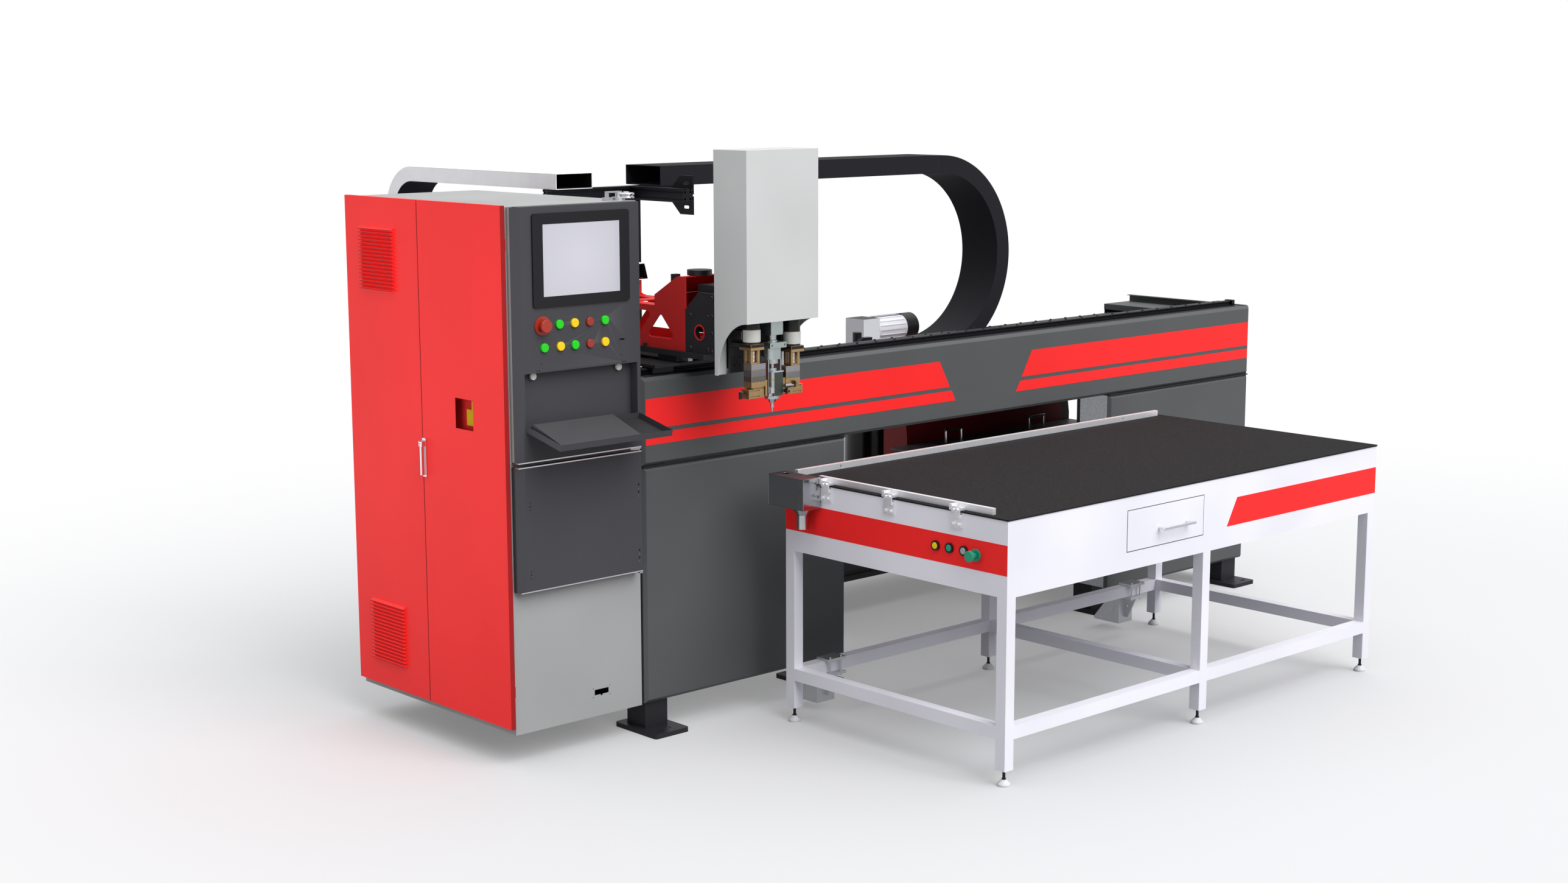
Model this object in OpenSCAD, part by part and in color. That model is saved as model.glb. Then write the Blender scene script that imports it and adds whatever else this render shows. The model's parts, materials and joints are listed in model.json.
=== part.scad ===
// Foam gasket machine: a gantry with a dispensing head over a work table,
// a control cabinet on its left end and a supply unit behind the beam.
// Millimetres. X runs along the beam, Y to the rear, Z up. The origin is on
// the floor, under the front left corner of the gantry's front cover.

/* [Gantry] */
// Length of the crossbeam over its end panels
beam_l = 4147; // [4100:1:4300]
// Depth of the crossbeam from front cover to rear cover
beam_d = 811; // [811:1:860]
// Height of the top of the crossbeam above the floor
beam_top = 1500; // [1480:5:1540]
// Height of the front cover on the crossbeam
fascia_h = 363; // [340:1:380]
// Width of each lower front panel
pillar_w = 1157; // [1100:1:1200]
// Height of the lower edge of the lower front panels
pillar_low = 135; // [100:1:200]
// Width of a square post
post_w = 120; // [100:1:130]
// Thickness of a foot plate
foot_t = 20; // [15:1:25]
// How much lower the rear box beam lies than the front one
rear_drop = 96; // [90:1:110]
// Thickness of the front cover panels
panel_t = 15; // [12:1:18]
// Chamfer around the front cover panels
panel_c = 14; // [10:1:14]

/* [Carriages] */
// Height of the linear rails on the beam
rail_h = 24; // [20:1:24]
// Width of a linear rail
rail_w = 34; // [28:1:34]
// Length of the saddle plate along the beam
saddle_l = 690; // [650:1:720]
// Thickness of the saddle plate
saddle_t = 12; // [10:1:16]
// Side length of the overhead extrusions
ext_w = 60; // [50:1:60]
// Height of the underside of the overhead beams above the saddle plate
mast_h = 619; // [560:1:640]

/* [Arm] */
// Width of the arm's sheet truss
arm_w = 247; // [247:1:260]
// Length of the arm's sheet truss
arm_l = 1884; // [1884:1:1900]
// Height of the arm's sheet truss
arm_h = 177; // [165:1:190]
// Thickness of the truss sheet
arm_t = 5; // [4:1:8]
// Thickness of the arm's base plate
base_t = 23; // [18:1:28]
// Spacing of the triangular windows
window_p = 302; // [295:1:306]

/* [Head] */
// Width of the head cover
cover_w = 386; // [370:1:400]
// Height of the head cover at its sides
cover_h = 900; // [880:1:960]
// Depth of the head cover
cover_d = 196; // [190:1:200]
// Distance between each dosing pump and the mixer axis
pump_x = 109; // [108:1:116]
// Length of the mixer's nozzle tube
tip_l = 12; // [10:1:30]
// Bore of the nozzle tube
tip_bore = 4; // [2:0.5:6]

/* [Cable ducts] */
// Width of the duct that follows the saddle
xduct_w = 250; // [200:1:250]
// Height of the duct that follows the saddle
xduct_h = 90; // [70:1:90]
// Width of the duct that follows the arm
yduct_w = 200; // [160:1:200]
// Height of the duct that follows the arm
yduct_h = 70; // [60:1:72]
// Wall of both ducts
duct_t = 3; // [2:0.5:4]

/* [Cabinet] */
// Width of the control cabinet
cab_w = 640; // [600:1:700]
// Depth of the control cabinet
cab_d = 1105; // [1105:1:1160]
// Height of the underside of the control cabinet
cab_low = 133; // [100:1:180]
// Height of the control cabinet
cab_h = 2089; // [2089:1:2150]
// Depth of a cabinet door
door_t = 21; // [18:1:24]
// Number of slots in each louvre
louvre_n = 17; // [8:1:20]

/* [Console] */
// Depth of the operator console
con_d = 50; // [50:1:60]
// Width of the screen glass
glass_w = 375; // [340:1:400]
// Height of the screen glass
glass_h = 280; // [240:1:300]
// Diameter of the push button caps
cap_d = 36; // [28:1:38]
// Diameter of the emergency stop
estop_d = 52; // [40:1:60]
// Tilt of the keyboard tray
tray_tilt = 12.7; // [5:0.1:20]

/* [Table] */
// Length of the work table
tab_l = 2500; // [2400:10:2600]
// Depth of the work table
tab_d = 1240; // [1200:5:1300]
// Height of the work table
tab_h = 1049; // [1000:1:1100]
// Height of the table's apron
apron_h = 301; // [290:1:320]
// Width of a table leg
leg_w = 50; // [40:1:60]
// Thickness of the table mat
mat_t = 7; // [4:1:10]
// Gap between the table and the gantry
tab_gap = 240; // [230:5:300]
// Width of the drawer
drawer_w = 498; // [400:1:520]

/* [Supply unit] */
// Diameter of the supply tank
tank_d = 310; // [260:1:330]
// Height of the top of the supply tank
tank_top = 1240; // [1150:5:1250]
// Height of the lid of the supply unit
lid_z = 808; // [700:1:830]

/* [Hidden] */
$fn = 48;

// small gap that keeps neighbouring pieces of one assembly apart
e = 0.1;
// gap between pieces that move past each other
run = 0.4;

beam_low = beam_top - fascia_h;      // lower edge of the front cover
beam_z = beam_low + 8;               // underside of the box beam
pillar_top = beam_low - 6;
rear_top = beam_top - rear_drop;     // top of the rear box beam
hood_x = beam_l - 220;               // left edge of the hood over the rear beam's end
hood_z = beam_top - 34;
post_x0 = 19;                        // left outer post
post_x1 = beam_l - post_x0 - post_w; // right outer post
post_x2 = 1025;                      // left inner post
post_x3 = beam_l - post_x2 - post_w;
post_y0 = 32;
post_y1 = beam_d - post_y0 - post_w;
foot_w = 180;
foot_d = 273;
beam_y = 150;                        // depth of each box beam
rail_y0 = 100;
rail_y1 = beam_d - 101;

sad_z = beam_top + rail_h + 6;       // underside of the saddle plate
arm_z = sad_z + saddle_t + 28;       // underside of the arm's base plate
tr_z = arm_z + base_t;               // underside of the truss
tr_top = tr_z + arm_h;
arm_x0 = 230;
arm_x1 = arm_x0 + arm_w;
arm_y0 = -4;
arm_y1 = arm_y0 + arm_l;
mix_x = (arm_x0 + arm_x1) / 2;       // axis of the nozzle
mix_y = -395;
yr_x0 = 262;                         // rails below the arm
yr_x1 = 445;
ovh_z = sad_z + saddle_t + mast_h;   // underside of the overhead beams
ovh_top = ovh_z + ext_w;
mast_x = 691;
mast_y = 927;

// duct that follows the saddle
xd_y = 834;
tray_z = beam_top - 238;
xd_low = tray_z + 12;
xd_top = ovh_top + e + xduct_h;
xd_r = (xd_top - xd_low) / 2;
xd_c = xd_low + xd_r;
xd_x0 = 793;                         // open end of the upper run
xd_xb = 2640;                        // start of the bend at rest
xd_fix = 1300;                       // fixed end of the lower run
// duct that follows the arm
yd_x = arm_x0 + 23;
yd_low = tr_top + 73;
yd_top = ovh_top + e + yduct_h;
yd_r = (yd_top - yd_low) / 2;
yd_c = yd_low + yd_r;
yd_y0 = 895;
yd_yb = 2040;

cov_y0 = -462;                       // front of the head cover
cov_z = tr_z - 67;                   // lower edge at the rear
cov_x0 = mix_x - cover_w / 2;
cov_x1 = mix_x + cover_w / 2;
cov_y1 = cov_y0 + cover_d;           // rear of the head cover
pl_y = cov_y1;                       // front of the column's back plate

cab_x1 = -15;
cab_x0 = cab_x1 - cab_w;
cab_y0 = 10;
cab_y1 = cab_y0 + cab_d;
cab_top = cab_low + cab_h;
door_x = cab_x0 - 8 - door_t;        // outer face of the doors
door_z0 = cab_low + 30;
door_z1 = cab_top + 6;
door_split = 570;
hinge_x = cab_x0 - 6;

con_y = cab_y0 - con_d;              // face of the console
con_x0 = -621;
con_x1 = -40;
con_top = cab_top - 1;
con_mid = con_top - 991;             // lower edge of the upper console
rec_x0 = -613;
rec_x1 = -57;
rec_z0 = con_mid + 120;
rec_z1 = con_mid + 349;
glass_x = -331.5;
glass_z = con_mid + 782;
row_a = con_mid + 531;
row_b = con_mid + 444.5;
tray_y = con_y - 2.9;                // hinge line of the keyboard tray
tray_h = rec_z0 - 0.4;
tray_d = 219.5;                       // depth of the keyboard tray
ldoor_z0 = con_mid - 515;
ldoor_z1 = con_mid - 14;

tab_x0 = 571;
tab_x1 = tab_x0 + tab_l;
tab_y1 = -tab_gap;
tab_y0 = tab_y1 - tab_d;
apron_z = tab_h - apron_h;
leg_z = 64;
lrail_z = 186;
lrail_h = 52;
draw_x = 1290;
draw_z0 = tab_h - 224;
draw_z1 = tab_h - 58;
fun_x = tab_x0 - 101;                // purge funnel
fun_z1 = tab_h + 35;
fun_z0 = fun_z1 - 128;

tank_x = 2680;
tank_y = 1360;
unit_x0 = 2450;
unit_x1 = 3880;
base_x0 = 1700;
base_z0 = 229;
base_z1 = 330;
base_y1 = 1540;
tank_z0 = base_z1 + 120;
unit_y0 = post_y1 + 91.2;

black = "#232325";
grey_dark = "#5F6060";
grey_con = "#48484B";
grey_cab = "#A8AAA9";
red = "#F03C3C";
white = "#F2F1FA";
steel = "#C9CBCE";
bronze = "#B5976B";

// box between two corners
module box(x0, x1, y0, y1, z0, z1) translate([x0, y0, z0]) cube([x1 - x0, y1 - y0, z1 - z0]);
// outlines extruded along X, Y and Z
module px(x0, x1, p) translate([x0, 0, 0]) rotate([90, 0, 90]) linear_extrude(x1 - x0) polygon(p);
module py(y0, y1, p) translate([0, y1, 0]) rotate([90, 0, 0]) linear_extrude(y1 - y0) polygon(p);
module pz(z0, z1, p) translate([0, 0, z0]) linear_extrude(z1 - z0) polygon(p);
// cylinders along X, Y and Z
module cx(x0, x1, y, z, r) translate([x0, y, z]) rotate([0, 90, 0]) cylinder(h = x1 - x0, r = r);
module cy(y0, y1, x, z, r) translate([x, y1, z]) rotate([90, 0, 0]) cylinder(h = y1 - y0, r = r);
module cz(z0, z1, x, y, r) translate([x, y, z0]) cylinder(h = z1 - z0, r = r);
module ring(z0, z1, x, y, ro, ri) difference() {
  cz(z0, z1, x, y, ro);
  cz(z0 - 1, z1 + 1, x, y, ri);
}
// an outline with its corners rounded
function unit(v) = v / norm(v);
function rounded(p, r, n = 4) = [for (i = [0:len(p) - 1])
  let (a = p[(i + len(p) - 1) % len(p)], b = p[i], c = p[(i + 1) % len(p)],
    u = unit(a - b), v = unit(c - b), h = acos(max(-1, min(1, u * v))) / 2,
    m = b + unit(u + v) * (r / sin(h)), s = b + u * (r / tan(h)), t = b + v * (r / tan(h)),
    a0 = atan2(s[1] - m[1], s[0] - m[0]), q = atan2(t[1] - m[1], t[0] - m[0]), da = q - a0,
    a1 = da > 180 ? q - 360 : da < -180 ? q + 360 : q)
  for (k = [0:n]) m + r * [cos(a0 + (a1 - a0) * k / n), sin(a0 + (a1 - a0) * k / n)]];
function rect(x0, x1, y0, y1) = [[x0, y0], [x1, y0], [x1, y1], [x0, y1]];
// four strips around an opening in a sheet that lies in the XZ plane
module strips_y(y0, y1, x0, x1, z0, z1, a0, a1, b0, b1) {
  box(x0, x1, y0, y1, z0, b0 - e);
  box(x0, x1, y0, y1, b1 + e, z1);
  box(x0, a0, y0, y1, b0, b1);
  box(a1, x1, y0, y1, b0, b1);
}
// four strips around an opening in a sheet that lies in the YZ plane
module strips_x(x0, x1, y0, y1, z0, z1, a0, a1, b0, b1) {
  box(x0, x1, y0, y1, z0, b0 - e);
  box(x0, x1, y0, y1, b1 + e, z1);
  box(x0, x1, y0, a0, b0, b1);
  box(x0, x1, a1, y1, b0, b1);
}

// GANTRY

// foot plate with a slot for the anchor and a hole for the jacking screw
module foot(xc, y0, y1, sx, sy) difference() {
  pz(0, foot_t, rounded([[xc - foot_w / 2, y0], [xc + foot_w / 2, y0], [xc + foot_w / 2, y1],
    [xc - foot_w / 2, y1]], 12));
  for (y = [y0 + 37, y1 - 37]) {
    box(xc + sx * 37.5 - 11, xc + sx * 37.5 + 11, y - 7, y + 7, -1, foot_t + 1);
    for (a = [-11, 11])
      cz(-1, foot_t + 1, xc + sx * 37.5 + a, y, 7);
    cz(-1, foot_t + 1, xc - sx * 25, y + sy * 13, 5);
  }
}

module gantry_frame() color(black) {
  for (x = [post_x0, post_x1], y = [post_y0, post_y1])
    box(x, x + post_w, y, y + post_w, foot_t + e, beam_z - e);
  for (x = [post_x2, post_x3]) {
    box(x, x + post_w, 100, 100 + post_w, foot_t + e, beam_z - e);
    foot(x + post_w / 2, 24, 100 + post_w + 76, x < beam_l / 2 ? -1 : 1, 1);
  }
  foot(post_x0 + post_w / 2, post_y0 - 107, post_y0 - 107 + foot_d, -1, 1);
  foot(post_x1 + post_w / 2, post_y0 - 107, post_y0 - 107 + foot_d, 1, 1);
  foot(post_x0 + post_w / 2, post_y1 + 227 - foot_d, post_y1 + 227, -1, -1);
  foot(post_x1 + post_w / 2, post_y1 + 227 - foot_d, post_y1 + 227, 1, -1);
  // packers between the posts and the lower front panels
  for (z = [pillar_low + 160, pillar_top - 120]) {
    for (x = [post_x0, post_x1])
      box(x + 20, x + post_w - 20, panel_t + e, post_y0 - e, z, z + 50);
    for (x = [post_x2, post_x3])
      box(x + 20, x + post_w - 20, panel_t + e, 100 - e, z, z + 50);
  }
  // two box beams, each of four plates, closed at the ends
  for (b = [[panel_t + 7, beam_top], [beam_d - 21 - beam_y, rear_top]]) let (y = b[0], t = b[1]) {
    box(4, beam_l - 4, y, y + 10, beam_z, t - 10 - e);
    box(4, beam_l - 4, y + beam_y - 10, y + beam_y, beam_z, t - 10 - e);
    box(4, beam_l - 4, y, y + beam_y, t - 10, t);
    box(4, beam_l - 4, y + 10 + e, y + beam_y - 10 - e, beam_z, beam_z + 10);
    for (x = [4, beam_l - 14])
      box(x, x + 10, y + 10 + e, y + beam_y - 10 - e, beam_z + 10 + e, t - 10 - e);
  }
  // deck, floor and end ties between the two beams
  for (z = [beam_z, rear_top - 68])
    box(4, beam_l - 4, panel_t + 7 + beam_y + e, beam_d - 21 - beam_y - e, z, z + 8);
  for (x = [4, beam_l - 64])
    box(x, x + 60, panel_t + 7 + beam_y + e, beam_d - 21 - beam_y - e, rear_top - 60 + e, rear_top - 4);
  // tray and its brackets for the duct that follows the saddle
  box(xd_fix - 10, 4000, beam_d + e, xd_y + xduct_w + 10, tray_z, tray_z + 8);
  for (x = [xd_fix:440:4000])
    px(x, x + 6, [[beam_d + e, tray_z - e], [xd_y + xduct_w, tray_z - e], [beam_d + e, tray_z - 70]]);
  // tie between the rear posts, and packers behind the control cabinet
  box(post_x0 + post_w + e, post_x1 - e, post_y1 + 31, post_y1 + 91, 300, 360);
  for (z = [400, 900]) {
    box(cab_x1 + e, -e, post_y0 + 10, post_y1 + post_w - 10, z, z + 60);
    box(3 + e, post_x0 - e, post_y0 + 10, post_y1 + post_w - 10, z, z + 60);
  }
}

module x_rails() color("#B8BABD") {
  for (r = [[rail_y0, beam_top], [rail_y1, rear_top]]) let (y = r[0], t = r[1]) {
    px(60, beam_l - 60, [[y - rail_w / 2, t + e], [y + rail_w / 2, t + e],
      [y + rail_w / 2, t + 8], [y + rail_w / 2 - 5, t + 11], [y + rail_w / 2 - 5, t + 15],
      [y + rail_w / 2, t + 18], [y + rail_w / 2, t + rail_h], [y - rail_w / 2, t + rail_h],
      [y - rail_w / 2, t + 18], [y - rail_w / 2 + 5, t + 15], [y - rail_w / 2 + 5, t + 11],
      [y - rail_w / 2, t + 8]]);
    for (x = [34, beam_l - 58])
      box(x, x + 24, y - 24, y + 24, t + e, t + 28);
  }
  // rack beside the front rail
  box(60, beam_l - 60, rail_y0 + 42, rail_y0 + 62, beam_top + e, beam_top + 19);
}

// a panel with a chamfered border: outline in X and Z, front face at y = 0
module panel(x0, x1, z0, z1) intersection() {
  px(x0, x1, [[0, z0 + panel_c], [panel_c, z0], [panel_t, z0], [panel_t, z1], [panel_c, z1],
    [0, z1 - panel_c]]);
  pz(z0, z1, [[x0, panel_c], [x0 + panel_c, 0], [x1 - panel_c, 0], [x1, panel_c], [x1, panel_t],
    [x0, panel_t]]);
}

module front_fascia() color(grey_dark) {
  panel(0, beam_l, beam_low, beam_top);
  // top return, end panels with a flange, rear panel
  box(0, beam_l, panel_t + e, panel_t + 7 - e, beam_top - 30, beam_top);
  for (x = [0, beam_l - 3]) {
    box(x, x + 3, panel_t + 7, beam_d - 3 - e, beam_low, beam_top - 3 - e);
    box(x == 0 ? 0 : x - 22, x == 0 ? 25 : x + 3, panel_t + 7, beam_d - 3 - e, beam_top + e,
      beam_top + 3);
  }
  box(0, beam_l, beam_d - 3, beam_d, beam_low, rear_top - 4);
  // hood over the right end of the rear beam
  box(hood_x, beam_l - 3 - e, panel_t + 7 + beam_y + e, beam_d, hood_z - 3, hood_z);
  box(hood_x, hood_x + 3, panel_t + 7 + beam_y + e, beam_d, hood_z - 30, hood_z - 3 - e);
  box(hood_x + 3 + e, beam_l, beam_d - 3, beam_d, rear_top - 4 + e, hood_z - 3 - e);
}

module pillar_panels() color(grey_dark) {
  panel(0, pillar_w, pillar_low, pillar_top);
  panel(beam_l - pillar_w, beam_l, pillar_low, pillar_top);
  for (x = [0, beam_l - 3])
    box(x, x + 3, panel_t + e, beam_d, pillar_low, pillar_top);
}

module pillar_inner_panels() color("#C6C8CA") {
  for (x = [pillar_w - 3, beam_l - pillar_w]) {
    box(x, x + 3, panel_t + e, 190, pillar_low + 12, pillar_top);
    box(x == pillar_w - 3 ? post_x2 + post_w + e : x + 3 + e,
      x == pillar_w - 3 ? x - e : post_x3 - e, 187, 190, pillar_low + 12, pillar_top);
  }
}

// thin red bands on the crossbeam and on the table, with the badge places left bare
module red_stripes() color("#FF2D2D") {
  py(-0.9, -e, [[15, beam_top - 86], [1754, beam_top - 86], [1823, beam_top - 210],
    [15, beam_top - 210]]);
  py(-0.9, -e, [[15, beam_top - 228], [1837, beam_top - 228], [1862, beam_top - 277],
    [15, beam_top - 277]]);
  py(-0.9, -e, [[2396, beam_top - 86], [beam_l - 15, beam_top - 86], [beam_l - 15, beam_top - 210],
    [2323, beam_top - 210]]);
  py(-0.9, -e, [[2312, beam_top - 228], [beam_l - 15, beam_top - 228],
    [beam_l - 15, beam_top - 277], [2284, beam_top - 277]]);
  py(tab_y0 - 0.9, tab_y0 - e, [[2021, tab_h - 96], [tab_x1, tab_h - 96], [tab_x1, tab_h - 214],
    [1953, tab_h - 214]]);
  difference() {
    box(tab_x0 - 0.9, tab_x0 - e, tab_y0, tab_y1, tab_h - 213, tab_h - 94);
    button_bores();
  }
}

// CONTROL CABINET

module cabinet_shell() color(grey_cab) {
  t = 3;
  box(cab_x0, cab_x1, cab_y0, cab_y1, cab_low, cab_low + t);
  box(cab_x0, cab_x1, cab_y0, cab_y1, cab_top - t, cab_top);
  box(cab_x1 - t, cab_x1, cab_y0 + t + e, cab_y1 - t - e, cab_low + t + e, cab_top - t - e);
  box(cab_x0, cab_x1, cab_y1 - t, cab_y1, cab_low + t + e, cab_top - t - e);
  // front sheet with the socket cut-out
  difference() {
    box(cab_x0, cab_x1, cab_y0, cab_y0 + t, cab_low + t + e, cab_top - t - e);
    box(-261, -188.5, cab_y0 - 1, cab_y0 + t + 1, cab_low + 88, cab_low + 111);
    cy(cab_y0 - 1, cab_y0 + t + 1, -224.5, cab_low + 88, 6);
    for (x = [-268, -182], z = [cab_low + 80.5, cab_low + 117.5])
      cy(cab_y0 - 1, cab_y0 + t + 1, x, z, 2.2);
  }
  // frame around the door opening
  box(cab_x0, cab_x0 + t, cab_y0 + t + e, cab_y0 + 28, cab_low + t + e, cab_top - t - e);
  box(cab_x0, cab_x0 + t, cab_y1 - 28, cab_y1 - t - e, cab_low + t + e, cab_top - t - e);
  box(cab_x0, cab_x0 + t, cab_y0 + 28 + e, cab_y1 - 28 - e, cab_low + t + e, cab_low + 34);
  box(cab_x0, cab_x0 + t, cab_y0 + 28 + e, cab_y1 - 28 - e, cab_top - 28, cab_top - t - e);
}

module cabinet_fittings() {
  // mounting plate, rails and trunking inside
  color(steel) box(cab_x1 - 6, cab_x1 - 3 - e, cab_y0 + 60, cab_y1 - 60, cab_low + 70, cab_top - 70);
  color("#8E9194") for (z = [cab_low + 420, cab_low + 900, cab_low + 1380])
    box(cab_x1 - 66, cab_x1 - 6 - e, cab_y0 + 90, cab_y1 - 90, z, z + 60);
  color(black) for (z = [cab_low + 600, cab_low + 1080], k = [0:3])
    box(cab_x1 - 116, cab_x1 - 6 - e, cab_y0 + 130 + 200 * k, cab_y0 + 270 + 200 * k, z, z + 150);
  // plate behind the square opening
  color("#8E9194") box(cab_x0 + 12, cab_x0 + 15, cab_y0 + 3 + e, 360, door_z0 + 1150, door_z0 + 1320);
  color("#FFD500") box(cab_x0, cab_x0 + 12 - e, 214, 262, door_z0 + 1185, door_z0 + 1285);
  // hinge pins of the two doors with their brackets
  color(steel) for (s = [[6, 1], [door_split + 531, -1]], z = [door_z0 + 150, door_z1 - 150]) {
    cz(z - 34, z + 34, hinge_x, s[0], 2.5);
    for (k = [-1, 1])
      box(hinge_x - 3, cab_x0 - e, min(s[0], s[0] + s[1] * 12), max(s[0], s[0] + s[1] * 12),
        z + k * 29 - 5, z + k * 29 + 5);
  }
  // swivel fitting on top, near the front right corner
  color("#D9DBDD") {
    cz(cab_top + e, cab_top + 12, -52, 74, 28);
    cz(cab_top + 12, cab_top + 30, -52, 74, 12);
    box(-112, -40, 64, 84, cab_top + 30 + e, cab_top + 36);
    box(-112, -106, 64, 84, cab_top + 12, cab_top + 30);
    box(-122, -92, 58, 90, cab_top + e, cab_top + 12 - e);
  }
}

// one leaf of the cabinet: a sheet with returned edges, rows of louvre slots
module leaf(y0, y1) {
  box(door_x, door_x + 2, y0, y1, door_z0, door_z1);
  for (y = [y0, y1 - 2])
    box(door_x + 2 + e, door_x + door_t, y, y + 2, door_z0, door_z1);
  for (z = [door_z0, door_z1 - 2])
    box(door_x + 2 + e, door_x + door_t, y0 + 2 + e, y1 - 2 - e, z, z + 2);
}
module louvre(y0, y1, z0, n) for (k = [0:n - 1]) let (z = z0 + 15.4 * k)
  py(y0, y1, [[door_x - e, z], [door_x - e, z + 12], [door_x - 2, z + 12], [door_x - 14, z + 3],
    [door_x - 14, z]]);
// hinge knuckle on a leaf: s is +1 where the leaf runs to +Y
module knuckle(yc, s, z) difference() {
  union() {
    cz(z - 23, z + 23, hinge_x, yc, 4.5);
    box(door_x + 2 + e, hinge_x, min(yc, yc + s * 4.5), max(yc, yc + s * 4.5), z - 23, z + 23);
  }
  cz(z - 24, z + 24, hinge_x, yc, 2.56);
}

module rear_door() color(red) {
  y0 = door_split + 3;
  y1 = door_split + 537;
  leaf(y0, y1);
  louvre(door_split + 170, door_split + 420, door_z0 + 1685, louvre_n);
  louvre(door_split + 168, door_split + 416, door_z0 + 110, louvre_n);
  for (z = [door_z0 + 150, door_z1 - 150])
    knuckle(door_split + 531, -1, z);
}

module front_door() color(red) {
  y1 = door_split;
  strips_x(door_x, door_x + 2, 0, y1, door_z0, door_z1, 211, 333, door_z0 + 1172, door_z0 + 1294);
  for (y = [0, y1 - 2])
    box(door_x + 2 + e, door_x + door_t, y, y + 2, door_z0, door_z1);
  for (z = [door_z0, door_z1 - 2])
    box(door_x + 2 + e, door_x + door_t, 2 + e, y1 - 2 - e, z, z + 2);
  for (z = [door_z0 + 150, door_z1 - 150])
    knuckle(6, 1, z);
}

handle_y = door_split - 17;
handle_z = door_z0 + 955;
module handle_base() color("#C4C7CA") {
  box(door_x - 8, door_x - e, handle_y - 12, handle_y + 12, handle_z - 8, handle_z + 151);
  // bearing of the lever
  for (s = [-1, 1])
    box(door_x - 26, door_x - 8 - e, handle_y + s * 9 - 2.5, handle_y + s * 9 + 2.5, handle_z + 118,
      handle_z + 140);
  cy(handle_y - 11, handle_y + 11, door_x - 19, handle_z + 130, 2.5);
}
module handle_lever() color("#D2D5D8") difference() {
  union() {
    box(door_x - 25, door_x - 9, handle_y - 6, handle_y + 6, handle_z, handle_z + 130);
    cy(handle_y - 6, handle_y + 6, door_x - 19, handle_z + 130, 6);
  }
  cy(handle_y - 7, handle_y + 7, door_x - 19, handle_z + 130, 2.56);
  px(door_x - 20, door_x - 8, rounded(rect(handle_y - 3, handle_y + 3, handle_z + 14, handle_z + 100),
    2.5));
}

// OPERATOR CONSOLE

// columns of the buttons on the console
cols = [-525, -444, -370, -295, -220];
colb = [-518, -440, -369, -295, -220];

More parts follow.
